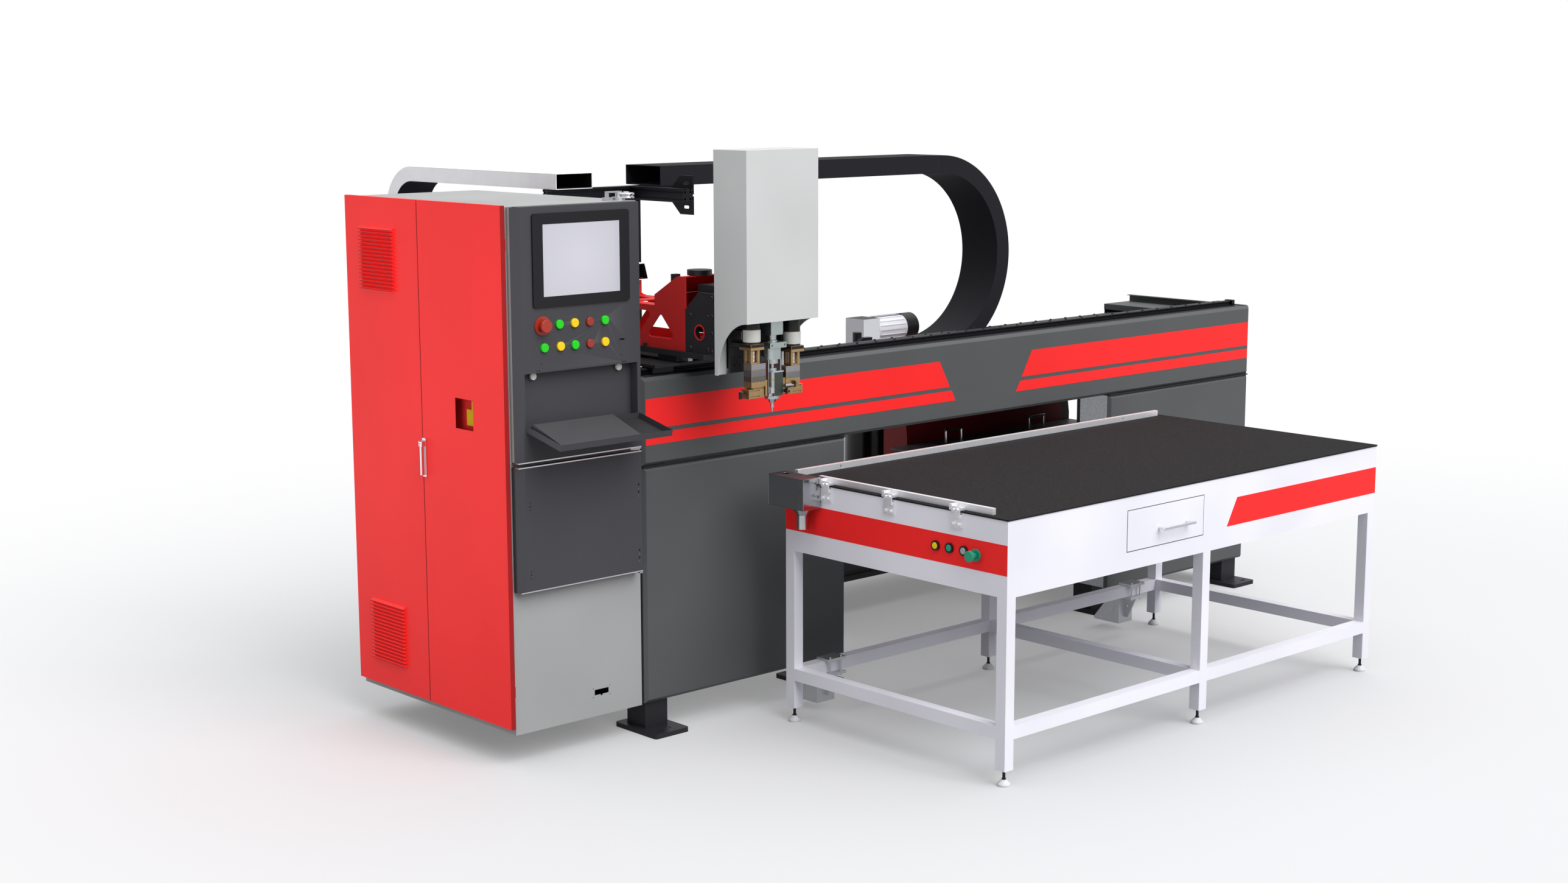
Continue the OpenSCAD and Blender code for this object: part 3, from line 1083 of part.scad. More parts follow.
// places of the buttons on the left face, in Y and Z
tbut = [[tab_y0 + 372, tab_h - 149], [tab_y0 + 298, tab_h - 147], [tab_y0 + 222, tab_h - 147]];
module button_bores() {
  for (p = tbut)
    cx(tab_x0 - 2, tab_x0 + 4, p[0], p[1], 13.6 + run);
  cx(tab_x0 - 2, tab_x0 + 4, tab_y0 + 160, tab_h - 154, 10 + run);
}
module ring_x(x0, x1, y, z, ro, ri) difference() {
  cx(x0, x1, y, z, ro);
  cx(x0 - 1, x1 + 1, y, z, ri);
}
module table_frame() color(white) {
  y0 = tab_y0;
  y1 = tab_y1;
  // legs and lower rails
  for (x = leg_xs, y = [y0, y1 - leg_w])
    box(x, x + leg_w, y, y + leg_w, leg_z, apron_z - e);
  for (k = [0, 1], y = [y0, y1 - leg_w])
    box(leg_xs[k] + leg_w + e, leg_xs[k + 1] - e, y, y + leg_w, lrail_z, lrail_z + lrail_h);
  for (x = leg_xs)
    box(x, x + leg_w, y0 + leg_w + e, y1 - leg_w - e, lrail_z, lrail_z + lrail_h);
  // apron of sheet on a tube frame, open behind the drawer
  strips_y(y0, y0 + 3, tab_x0, tab_x1, apron_z, tab_h, draw_x - 3, draw_x + drawer_w + 3,
    draw_z0 - 3, draw_z1 + 3);
  box(tab_x0, tab_x1, y1 - 3, y1, apron_z, tab_h);
  box(tab_x1 - 3, tab_x1, y0 + 3 + e, y1 - 3 - e, apron_z, tab_h);
  difference() {
    box(tab_x0, tab_x0 + 3, y0 + 3 + e, y1 - 3 - e, apron_z, tab_h);
    button_bores();
  }
  ring_x(tab_x0 - 9, tab_x0 - 1, tab_y0 + 160, tab_h - 154, 24, 10 + run);
  for (p = tbut)
    color(black) ring_x(tab_x0 - 10, tab_x0 - 1, p[0], p[1], 20, 13.6 + run);
  box(tab_x0 + 3 + e, tab_x1 - 3 - e, y0 + 3 + e, y1 - 3 - e, tab_h - 12, tab_h);
  for (y = [y0 + 3 + e, y1 - 43 - e])
    box(tab_x0 + 3 + e, tab_x1 - 3 - e, y, y + 40, apron_z, apron_z + 40);
  for (x = [tab_x0 + 3 + e, leg_xs[1], tab_x1 - 43])
    box(x, x + 40 - e, y0 + 43 + 2 * e, y1 - 43 - 2 * e, apron_z, apron_z + 40);
  // runners of the drawer
  for (x = [draw_x - 10, draw_x + drawer_w - 5 + run]) {
    box(x, x + 15 - run, y0 + 3 + e, y0 + 560, draw_z0 + 30, draw_z0 + 50);
    for (y = [y0 + 60, y0 + 520])
      box(x, x + 15 - run, y, y + 30, draw_z0 + 50 + e, tab_h - 12 - e);
  }
}

module table_mat() color("#3A393A")
  pz(tab_h + e, tab_h + mat_t, rounded(rect(tab_x0 - 4, tab_x1 + 4, tab_y0 - 4, tab_y1 + 4), 5));

// levelling feet
module table_feet() for (x = leg_xs, y = [tab_y0, tab_y1 - leg_w]) translate([x + leg_w / 2, y + leg_w / 2, 0]) {
  color("#D9D9DE") {
    cylinder(h = 8, r = 27);
    translate([0, 0, 8]) cylinder(h = 6, r1 = 27, r2 = 23);
    translate([0, 0, 14]) cylinder(h = 12, r1 = 22, r2 = 11);
  }
  color(black) translate([0, 0, 26]) cylinder(h = 5, r = 8.5);
  color(steel) translate([0, 0, 31]) cylinder(h = leg_z - 31 - e, r = 6);
}

module locating_bars() {
  y0 = tab_y0 + 99;
  color("#C9CBCE") difference() {
    union() {
      box(tab_x0 + 23, tab_x0 + 41, y0, tab_y1 - 177, tab_h + mat_t + e, tab_h + 33);
      box(tab_x0 + 49, tab_x1 - 31, tab_y1 - 22, tab_y1 - 2, tab_h + mat_t + e, tab_h + 33);
    }
    for (x = [tab_x0 + 300, tab_x1 - 300])
      cy(tab_y1 - 23, tab_y1 - 1, x, tab_h + 20, 5);
  }
  // clamp plates over and beside the table edge, each held by two screws
  for (y = [tab_y1 - 246, tab_y1 - 608, tab_y1 - 976]) {
    color("#B9BBBE") {
      px(tab_x0 - 6, tab_x0 - e, rounded(rect(y - 30, y + 30, tab_h - 64, tab_h - 8), 5));
      box(tab_x0 - 12, tab_x0 - 6 - e, y - 24, y + 12, tab_h - 22, tab_h + 24);
      box(tab_x0 - 6, tab_x0 + 23 - e, y - 24, y + 12, tab_h + mat_t + e, tab_h + 18);
      box(tab_x0 - 14, tab_x0 + 23 - e, y + 15, y + 29, tab_h + mat_t + e, tab_h + 30);
      box(tab_x0 - 5, tab_x0 + 6, y + 12 + e, y + 15 - e, tab_h + mat_t + e, tab_h + 18);
    }
    // socket screws
    color("#D9DBDD") for (q = [[6, -14, -48], [6, 14, -48], [12, -15, 11], [12, 4, 9]]) difference() {
      cx(tab_x0 - q[0] - 9, tab_x0 - q[0] - e, y + q[1], tab_h + q[2], 7.5);
      cx(tab_x0 - q[0] - 10, tab_x0 - q[0] - 5, y + q[1], tab_h + q[2], 3.5);
    }
  }
  color("#B9BBBE") for (x = [tab_x0 + 520, tab_x0 + 1250, tab_x0 + 1980]) {
    box(x - 40, x + 40, tab_y1 + 4 + e, tab_y1 + 10, tab_h - 30, tab_h + 22);
    box(x - 40, x + 40, tab_y1 + e, tab_y1 + 4, tab_h - 30, tab_h - 4);
    box(x - 40, x + 40, tab_y1 - 2 + e, tab_y1 + 4, tab_h + mat_t + e, tab_h + 22);
  }
}

module purge_funnel() color("#C2C4C6") {
  x1 = tab_x0 - 5;
  y0 = tab_y1 - 215;
  y1 = tab_y1 - 2;
  // top with the cleaning bore and a drip bore
  difference() {
    box(fun_x, x1, y0, y1, fun_z1 - 3, fun_z1);
    cz(fun_z1 - 4, fun_z1 + 1, fun_x + 55, y1 - 48, 15);
    cz(fun_z1 - 4, fun_z1 + 1, fun_x + 63, y0 + 62, 5);
  }
  for (y = [y0, y1 - 2])
    box(fun_x, x1, y, y + 2, fun_z0, fun_z1 - 3 - e);
  for (x = [fun_x, x1 - 2])
    box(x, x + 2, y0 + 2 + e, y1 - 2 - e, fun_z0, fun_z1 - 3 - e);
  // floor with an outlet, cone and spout
  difference() {
    box(fun_x, x1, y0, y1, fun_z0 - 3, fun_z0 - e);
    cz(fun_z0 - 4, fun_z0 + 1, fun_x + 50, y0 + 58, 38);
  }
  translate([fun_x + 50, y0 + 58, fun_z0 - 31]) difference() {
    cylinder(h = 28 - e, r1 = 25, r2 = 46);
    translate([0, 0, -0.01]) cylinder(h = 28, r1 = 23, r2 = 44);
  }
  ring(fun_z0 - 90, fun_z0 - 31 - e, fun_x + 50, y0 + 58, 25, 23);
  // hangers on the table
  for (y = [y0 + 30, y1 - 60])
    box(x1 + e, tab_x0 - e, y, y + 30, fun_z0 + 10, fun_z0 + 60);
}

// clamps around the rear lower rail that carry gusseted boxes
module table_brackets() for (x = [tab_x0 + 175, tab_x1 - 278]) {
  w = 104;
  y1 = tab_y1;
  color("#D9DADD") {
    for (z = [lrail_z + lrail_h + e, lrail_z - 12])
      difference() {
        box(x, x + w, y1 - 78, y1 - 3, z, z + 12 - e);
        for (s = [20, w - 20])
          cz(z - 1, z + 13, x + s, y1 - 66, 4.5);
      }
    for (s = [20, w - 20])
      cz(lrail_z - 20, lrail_z + lrail_h + 18, x + s, y1 - 66, 4.4);
    box(x, x + w, y1 - 5, y1 - e, 43, lrail_z - 12 - e);
    for (s = [0, w - 5])
      px(x + s, x + s + 5, rounded([[y1, lrail_z - 18], [y1 + 60, lrail_z - 18], [y1 + 160, 43],
        [y1, 43]], 8));
    box(x + 5 + e, x + w - 5 - e, y1, y1 + 150, 43, 48);
    box(x + 5 + e, x + w - 5 - e, y1, y1 + 58, lrail_z - 24, lrail_z - 18);
    difference() {
      px(x + w / 2 - 3, x + w / 2 + 3, [[y1 - 5 - e, lrail_z - 13], [y1 - 70, lrail_z - 13],
        [y1 - 20, 70], [y1 - 5 - e, 70]]);
      cx(x + w / 2 - 4, x + w / 2 + 4, y1 - 18, lrail_z - 60, 4.5);
    }
  }
}

// drawer with its front
module drawer() color("#EDECF4") {
  x0 = draw_x;
  x1 = draw_x + drawer_w;
  y0 = tab_y0 - 1;
  box(x0, x1, y0, y0 + 3, draw_z0, draw_z1);
  for (x = [x0 + 5, x1 - 7])
    box(x, x + 2, y0 + 3 + e, y0 + 520, draw_z0 + 10, draw_z1 - 16);
  box(x0 + 7 + e, x1 - 7 - e, y0 + 518, y0 + 520, draw_z0 + 10, draw_z1 - 16);
  box(x0 + 7 + e, x1 - 7 - e, y0 + 3 + e, y0 + 518 - e, draw_z0 + 10, draw_z0 + 12);
}
module drawer_handle() color("#C9CBCE") {
  xc = draw_x + drawer_w / 2 + 43;
  z = draw_z0 + 71;
  for (s = [-1, 1])
    cy(tab_y0 - 30, tab_y0 - 1 - e, xc + s * 90, z, 6);
  cx(xc - 106, xc + 106, tab_y0 - 36, z, 6);
}

// cap of a button on the table's left face
module tab_button(p, c) color(c) {
  cx(tab_x0 - 12, tab_x0 + 6, p[0], p[1], 13.6);
  cx(tab_x0 + 6, tab_x0 + 20, p[0], p[1], 8);
}
module table_mushroom() color("#119471") {
  cx(tab_x0 - 46, tab_x0 - 34, tab_y0 + 160, tab_h - 154, 22);
  cx(tab_x0 - 34, tab_x0 - 16, tab_y0 + 160, tab_h - 154, 14);
  cx(tab_x0 - 16, tab_x0 + 12, tab_y0 + 160, tab_h - 154, 10);
}

// SUPPLY UNIT

module supply_tank() {
  color("#C4C6C9") {
    difference() {
      cz(tank_z0, tank_top, tank_x, tank_y, tank_d / 2);
      cz(tank_z0 + 4, tank_top + 1, tank_x, tank_y, tank_d / 2 - 4);
    }
    cz(tank_top + e, tank_top + 14, tank_x, tank_y, tank_d / 2 + 14);
  }
  color(steel) for (a = [45, 165, 285])
    translate([tank_x, tank_y, 0]) rotate(a) cz(base_z1 + e, tank_z0 - e, tank_d / 2 - 30, 0, 14);
}

module supply_hood() {
  y0 = unit_y0;
  y1 = 1006;
  // skid, lower box and lid
  color(black) {
    difference() {
      box(base_x0, unit_x1, y0, base_y1, base_z0, base_z1);
      for (z = [base_z0 + 30, base_z0 + 62])
        box(base_x0 - 1, unit_x1 + 1, y0 - 1, y0 + 6, z, z + 8);
    }
    for (x = [base_x0 + 10, unit_x1 - 80], y = [y0 + 10, base_y1 - 80])
      box(x, x + 70, y, y + 70, 12 + e, base_z0 - e);
    for (x = [base_x0 + 45, unit_x1 - 45], y = [y0 + 45, base_y1 - 45])
      cz(0, 12, x, y, 45);
    box(unit_x0 + 30, unit_x1 - 30, y0, y1 - 10, base_z1 + e, lid_z - 10);
  }
  color("#55565A") box(unit_x0, unit_x1, y0, y1, lid_z - 10 + e, lid_z);
  // handles and hinge on the lid
  color("#2A2B2D") for (x = [2760, 3420]) {
    for (s = [0, 118])
      cz(lid_z + e, lid_z + 70, x + s, 900, 7);
    cx(x - 7, x + 125, 900, lid_z + 70, 7);
  }
  color("#E4E4E2") box(2640, 2720, 860, 890, lid_z + e, lid_z + 12);
  // red hood with a sloped front, its right side black
  color("#C42022") px(unit_x0 + 130, unit_x1 - 60, [[y1 + 2, base_z1 + e], [1180, base_z1 + e], [1180, 1240],
    [y1 + 60, 1240], [y1 + 2, lid_z + 40]]);
  color(black) px(unit_x1 - 60 + e, unit_x1, [[y1 + 2, base_z1 + e], [1180, base_z1 + e], [1180, 1240],
    [y1 + 60, 1240], [y1 + 2, lid_z + 40]]);
}

module agitator_motor() {
  z = tank_top + 136;
  color("#A9ABAE") {
    box(tank_x - 140, tank_x - 20, tank_y - 68, tank_y + 68, z - 68, z + 68);
    cz(tank_top + 14 + e, z - 68 - e, tank_x - 80, tank_y, 40);
    cx(tank_x - 20 + e, tank_x + 190, tank_y, z, 70);
    // cooling ribs
    for (k = [0:8])
      translate([0, tank_y, z]) rotate([20 * k, 0, 0])
        box(tank_x - 10, tank_x + 180, -74, 74, -1.5, 1.5);
  }
  color(black) cx(tank_x + 190 + e, tank_x + 275, tank_y, z, 73);
}

module air_regulator() {
  x = tank_x - 260;
  z = tank_top + 90;
  color("#8F9194") {
    box(tank_x - 240, tank_x - 20, tank_y - 110, tank_y - 100, tank_top + 14 + e, tank_top + 60);
    box(x - 20, x + 60, tank_y - 130, tank_y - 110 - e, tank_top + 20, tank_top + 56);
  }
  color("#2A2B2D") {
    cz(tank_top + 56 + e, tank_top + 150, x + 20, tank_y - 120, 24);
    box(x + 62, x + 110, tank_y - 142, tank_y - 110 - e, tank_top + 24, tank_top + 120);
  }
  color("#E8E8E8") cy(tank_y - 172, tank_y - 144 - e, x + 20, z + 10, 26);
  color("#8F9194") cy(tank_y - 144, tank_y - 140, x + 20, z + 10, 10);
}

gantry_frame();
x_rails();
front_fascia();
pillar_panels();
pillar_inner_panels();
red_stripes();
cabinet_shell();
cabinet_fittings();
console_housing();
screen_glass();
x_duct_lower();
table_frame();
table_mat();
locating_bars();
purge_funnel();
table_feet();
table_brackets();
supply_tank();
supply_hood();
agitator_motor();
air_regulator();
rear_door();
front_door();
handle_base();
handle_lever();
console_lower_door();
keyboard_tray();
keyboard();
drawer();
drawer_handle();
saddle();
overhead_frame();
x_duct_upper();
y_duct_upper();
x_duct_bend();
y_duct_bend();
arm_truss();
arm_carrier();
y_duct_lower();
z_cover();
head_plate();
mixer_body();
pumps();
mixer_rotor();
coupling(-1);  // pump_coupling_left
coupling(1);  // pump_coupling_right
emergency_stop();
cap(cols[1], row_a, cap_d, "#12D000");  // button_a1
cap(cols[2], row_a, cap_d, "#FFD500");  // button_a2
cap(cols[3], row_a, cap_d, "#8C2A18");  // button_a3
cap(cols[4], row_a, cap_d, "#12D000");  // button_a4
cap(colb[0], row_b, cap_d, "#12D000");  // button_b1
cap(colb[1], row_b, cap_d, "#FFD500");  // button_b2
cap(colb[2], row_b, cap_d, "#12D000");  // button_b3
cap(colb[3], row_b, cap_d, "#8C2A18");  // button_b4
cap(colb[4], row_b, cap_d, "#FFD500");  // button_b5
tab_button(tbut[0], "#FFD500");  // table_button_yellow
tab_button(tbut[1], "#12D000");  // table_button_green
tab_button(tbut[2], "#9A9C9E");  // table_button_grey
table_mushroom();
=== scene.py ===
"""A foam gasket machine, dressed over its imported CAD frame.

All is in the frame of the CAD part: X runs along the crossbeam, Y to the rear, Z up
from the floor. Lengths are in metres, and in millimetres where a docstring says so.
"""

import json
import math

import bmesh
import bpy
from mathutils import Matrix, Vector

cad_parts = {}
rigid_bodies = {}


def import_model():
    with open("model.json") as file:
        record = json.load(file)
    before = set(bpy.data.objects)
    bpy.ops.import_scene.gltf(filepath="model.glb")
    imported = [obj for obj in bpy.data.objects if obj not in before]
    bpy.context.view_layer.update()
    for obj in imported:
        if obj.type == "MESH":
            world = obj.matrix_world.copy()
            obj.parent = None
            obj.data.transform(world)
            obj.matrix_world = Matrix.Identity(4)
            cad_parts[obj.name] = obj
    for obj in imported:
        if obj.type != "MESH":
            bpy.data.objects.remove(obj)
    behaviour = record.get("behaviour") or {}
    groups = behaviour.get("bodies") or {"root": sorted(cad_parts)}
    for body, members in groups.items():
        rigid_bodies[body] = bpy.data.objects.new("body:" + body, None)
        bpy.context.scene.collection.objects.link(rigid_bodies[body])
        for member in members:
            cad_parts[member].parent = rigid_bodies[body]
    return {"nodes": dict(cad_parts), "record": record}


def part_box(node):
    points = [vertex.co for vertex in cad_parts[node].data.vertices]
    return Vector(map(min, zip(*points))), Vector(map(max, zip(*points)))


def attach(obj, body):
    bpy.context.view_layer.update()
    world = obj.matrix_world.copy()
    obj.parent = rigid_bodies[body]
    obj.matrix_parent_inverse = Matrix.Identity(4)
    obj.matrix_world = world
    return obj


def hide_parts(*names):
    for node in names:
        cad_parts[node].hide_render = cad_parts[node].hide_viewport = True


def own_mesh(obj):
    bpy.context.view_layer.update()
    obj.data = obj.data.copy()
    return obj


bl_info = {
    "name": "Foam Gasket Machine",
    "version": (1, 0, 0),
    "blender": (4, 5, 0),
    "location": "3D View > Sidebar > Machine",
    "description": "Builds the finishes and small parts of a foam gasket machine",
    "category": "Object",
}

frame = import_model()
NODES = frame["nodes"]
BODY = {n: b for b, ns in frame["record"]["behaviour"]["bodies"].items() for n in ns}
MM = 0.001
FRONT, LEFT, RIGHT, UP = (0, -1, 0), (-1, 0, 0), (1, 0, 0), (0, 0, 1)
ANY = (-9e4, 9e4)  # bounds of a box that is open along an axis
# edge radii in metres, from folded sheet to domed caps
THIN, FINE, PLAIN, EASED, ROUND, DOMED = 0.0006, 0.0008, 0.001, 0.0015, 0.002, 0.004
# degrees from which an edge stays sharp: where edges are eased, and on small parts
KINK, CREASE = 60, 40


# ---------------------------------------------------------------- properties


class MachineColours(bpy.types.PropertyGroup):
    """Paints of the machine, as sRGB hex values"""

    door_red: bpy.props.StringProperty(
        name="Door red", description="Powder coat of the cabinet doors", default="FF2E2E")
    band_red: bpy.props.StringProperty(
        name="Band red", description="Bands on the crossbeam and the table", default="FF2626")
    truss_red: bpy.props.StringProperty(
        name="Truss red", description="Powder coat of the arm's truss", default="E02C2C")
    cover_grey: bpy.props.StringProperty(
        name="Cover grey", description="Powder coat of the crossbeam covers", default="525455")
    console_grey: bpy.props.StringProperty(
        name="Console grey", description="Powder coat of the operator console", default="434347")
    cabinet_grey: bpy.props.StringProperty(
        name="Cabinet grey", description="Powder coat of the cabinet's shell", default="A0A1A1")
    table_white: bpy.props.StringProperty(
        name="Table white", description="Powder coat of the work table", default="ECEBF3")


class MachineSizes(bpy.types.PropertyGroup):
    """Small sizes of the machine's edges and fasteners"""

    sheet_edge: bpy.props.FloatProperty(
        name="Sheet edge", description="Radius on folded and cut sheet edges",
        default=0.0012, min=0.0002, max=0.004, unit="LENGTH")
    block_edge: bpy.props.FloatProperty(
        name="Block edge", description="Chamfer on machined blocks",
        default=0.0015, min=0.0002, max=0.004, unit="LENGTH")
    cap_edge: bpy.props.FloatProperty(
        name="Cap edge", description="Radius on the rims of the push buttons",
        default=0.003, min=0.0005, max=0.006, unit="LENGTH")
    rail_screw: bpy.props.FloatProperty(
        name="Rail screw", description="Head radius of the rails' socket screws",
        default=0.0062, min=0.003, max=0.012, unit="LENGTH")
    bracket_screw: bpy.props.FloatProperty(
        name="Bracket screw", description="Head radius of the head bracket's socket screws",
        default=0.0075, min=0.003, max=0.012, unit="LENGTH")
    stand_screw: bpy.props.FloatProperty(
        name="Stand screw", description="Head radius of the socket screws on the arm's stands",
        default=0.0055, min=0.003, max=0.012, unit="LENGTH")


# ---------------------------------------------------------------- materials


def linear(hexcode):
    """An sRGB hex value as linear colour."""
    c = [int(hexcode[i:i + 2], 16) / 255 for i in (0, 2, 4)]
    return [*[x / 12.92 if x <= 0.04045 else ((x + 0.055) / 1.055) ** 2.4 for x in c], 1.0]


def add(tree, kind, inputs=(), **settings):
    """One node with its settings, and its inputs set or linked by name."""
    node = tree.nodes.new(kind)
    for key, value in settings.items():
        setattr(node, key, value)
    for key, value in dict(inputs).items():
        if isinstance(value, bpy.types.NodeSocket):
            tree.links.new(value, node.inputs[key])
        else:
            node.inputs[key].default_value = value
    return node


def blank(name, inputs=()):
    """A new material with a surface shader, its tree and the object's coordinates."""
    mat = bpy.data.materials.new(name)
    mat.use_nodes = True
    tree = mat.node_tree
    tree.nodes.clear()
    skin = add(tree, "ShaderNodeBsdfPrincipled", inputs)
    add(tree, "ShaderNodeOutputMaterial", {"Surface": skin.outputs["BSDF"]})
    place = add(tree, "ShaderNodeTexCoord").outputs["Object"]
    return mat, tree, skin, place


def tone(hexcode, gain):
    """The same colour, lighter or darker by a factor."""
    parts = (int(hexcode[i:i + 2], 16) for i in (0, 2, 4))
    return "".join("%02X" % max(0, min(255, round(p * gain))) for p in parts)


def surface(tree, skin, tint=None, gloss=None, relief=None):
    """Lets patterns drive a shader's colour, roughness and relief.

    tint is a pattern, two hex colours and where on the pattern they lie, gloss is a
    pattern with the least and the most roughness, and relief is a pattern with its
    strength and its height in metres.
    """
    if tint:
        pattern, low, high, *ends = tint
        ramp = add(tree, "ShaderNodeValToRGB", {"Fac": pattern})
        for stop, colour, at in zip(ramp.color_ramp.elements, (low, high), ends or (0.3, 0.7)):
            stop.position, stop.color = at, linear(colour)
        tree.links.new(ramp.outputs["Color"], skin.inputs["Base Color"])
    if gloss:
        pattern, low, high = gloss
        spread = add(tree, "ShaderNodeMapRange", {"Value": pattern, "To Min": low, "To Max": high})
        tree.links.new(spread.outputs["Result"], skin.inputs["Roughness"])
    if relief:
        pattern, strength, height = relief
        bump = add(tree, "ShaderNodeBump",
                   {"Height": pattern, "Strength": strength, "Distance": height})
        tree.links.new(bump.outputs["Normal"], skin.inputs["Normal"])


def powder_coat(name, colour, rough=0.42, peel_mm=3.0, depth=0.12):
    # Electrostatic powder on sheet steel: an even colour with a fine orange peel that
    # softens the highlights, and a barely seen drift of shade over half a metre.
    # The real peel is about 1.5 mm; it is drawn at peel_mm so that it shows.
    mat, tree, skin, place = blank(name, {"IOR": 1.5, "Specular IOR Level": 0.25})
    drift = add(tree, "ShaderNodeTexNoise", {"Vector": place, "Scale": 2.2, "Detail": 1.0})
    peel = add(tree, "ShaderNodeTexNoise",
               {"Vector": place, "Scale": 1000 / peel_mm, "Detail": 2.0, "Roughness": 0.6})
    surface(tree, skin, tint=(drift.outputs["Fac"], tone(colour, 0.975), tone(colour, 1.02)),
            gloss=(peel.outputs["Fac"], rough - 0.05, rough + 0.06),
            relief=(peel.outputs["Fac"], depth, 0.0006))
    return mat


def metal(name, colour, rough, grain=(0.0, 0.0, 1.0), grain_mm=1.2, depth=0.15, shift=0.05):
    # Bare or anodised metal. A low number in grain stretches the pattern along that axis
    # into long fine lines, as grinding, milling or drawing leaves.
    mat, tree, skin, place = blank(name, {"Metallic": 1.0})
    lay = add(tree, "ShaderNodeMapping",
              {"Vector": place, "Scale": [max(g, 0.02) for g in grain]})
    marks = add(tree, "ShaderNodeTexNoise",
                {"Vector": lay.outputs["Vector"], "Scale": 1000 / grain_mm, "Detail": 3.0})
    surface(tree, skin,
            tint=(marks.outputs["Fac"], tone(colour, 1 - shift), tone(colour, 1 + shift)),
            gloss=(marks.outputs["Fac"], rough - 0.06, rough + 0.08),
            relief=(marks.outputs["Fac"], depth, 0.0003))
    return mat


def moulded(name, colour, rough=0.4, grain_mm=1.5, depth=0.15, coat=0.0, shine=0.3):
    # Injection-moulded plastic: spark-eroded grain from the mould, cloudy gloss.
    mat, tree, skin, place = blank(
        name, {"IOR": 1.49, "Specular IOR Level": shine, "Coat Weight": coat})
    grain = add(tree, "ShaderNodeTexVoronoi", {"Vector": place, "Scale": 1000 / grain_mm})
    cloud = add(tree, "ShaderNodeTexNoise", {"Vector": place, "Scale": 14.0, "Detail": 2.0})
    surface(tree, skin, tint=(cloud.outputs["Fac"], tone(colour, 0.985), tone(colour, 1.01)),
            gloss=(cloud.outputs["Fac"], rough - 0.05, rough + 0.06),
            relief=(grain.outputs["Distance"], depth, 0.0003))
    return mat


def rubber_mat():
    # Calendered rubber table mat: matt, with pale mineral specks and a pebbled face.
    # The specks are about 1 mm; they are drawn at 5 mm so that they show.
    mat, tree, skin, place = blank(
        "speckled rubber mat", {"Roughness": 0.85, "Specular IOR Level": 0.1})
    specks = add(tree, "ShaderNodeTexVoronoi", {"Vector": place, "Scale": 1000 / 5})
    pebble = add(tree, "ShaderNodeTexNoise", {"Vector": place, "Scale": 260.0, "Detail": 3.0})
    both = add(tree, "ShaderNodeMath",
               {0: specks.outputs["Distance"], 1: pebble.outputs["Fac"]}, operation="MULTIPLY")
    surface(tree, skin, tint=(both.outputs["Value"], "141314", "2C2B2C", 0.05, 0.4),
            relief=(both.outputs["Value"], 0.5, 0.001))
    return mat


def polished_sheet():
    # Stainless sheet polished after welding: mirror-like, with faint waves where the
    # polishing wheel pressed, so reflections bend a little.
    mat, tree, skin, place = blank(
        "polished stainless sheet", {"Base Color": linear("B4B5B8"), "Metallic": 1.0})
    wave = add(tree, "ShaderNodeTexNoise", {"Vector": place, "Scale": 16.0, "Detail": 1.0})
    scratch = add(tree, "ShaderNodeTexNoise", {"Vector": place, "Scale": 900.0, "Detail": 2.0})
    surface(tree, skin, gloss=(scratch.outputs["Fac"], 0.10, 0.2),
            relief=(wave.outputs["Fac"], 0.25, 0.004))
    return mat


def display_face():
    # Liquid crystal display behind clear glass: an even pale grey that falls off a
    # little towards the corners, under a clear gloss.
    mat, tree, skin, place = blank(
        "pale display glass", {"Roughness": 0.22, "Coat Weight": 1.0, "Coat Roughness": 0.04})
    lo, hi = (Vector(v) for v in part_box("screen_glass"))
    mid = (lo + hi) / 2
    across, up = 3.0, 3.4  # spans of the gradient in a metre of the glass
    centred = add(tree, "ShaderNodeMapping",
                  {"Vector": place, "Location": [-mid.x * across, 0, -mid.z * up],
                   "Scale": [across, 0.001, up]})
    fall = add(tree, "ShaderNodeTexGradient", {"Vector": centred.outputs["Vector"]},
               gradient_type="SPHERICAL")
    surface(tree, skin, tint=(fall.outputs["Fac"], "BDBCC6", "CBCAD3", 0.0, 0.9))
    return mat


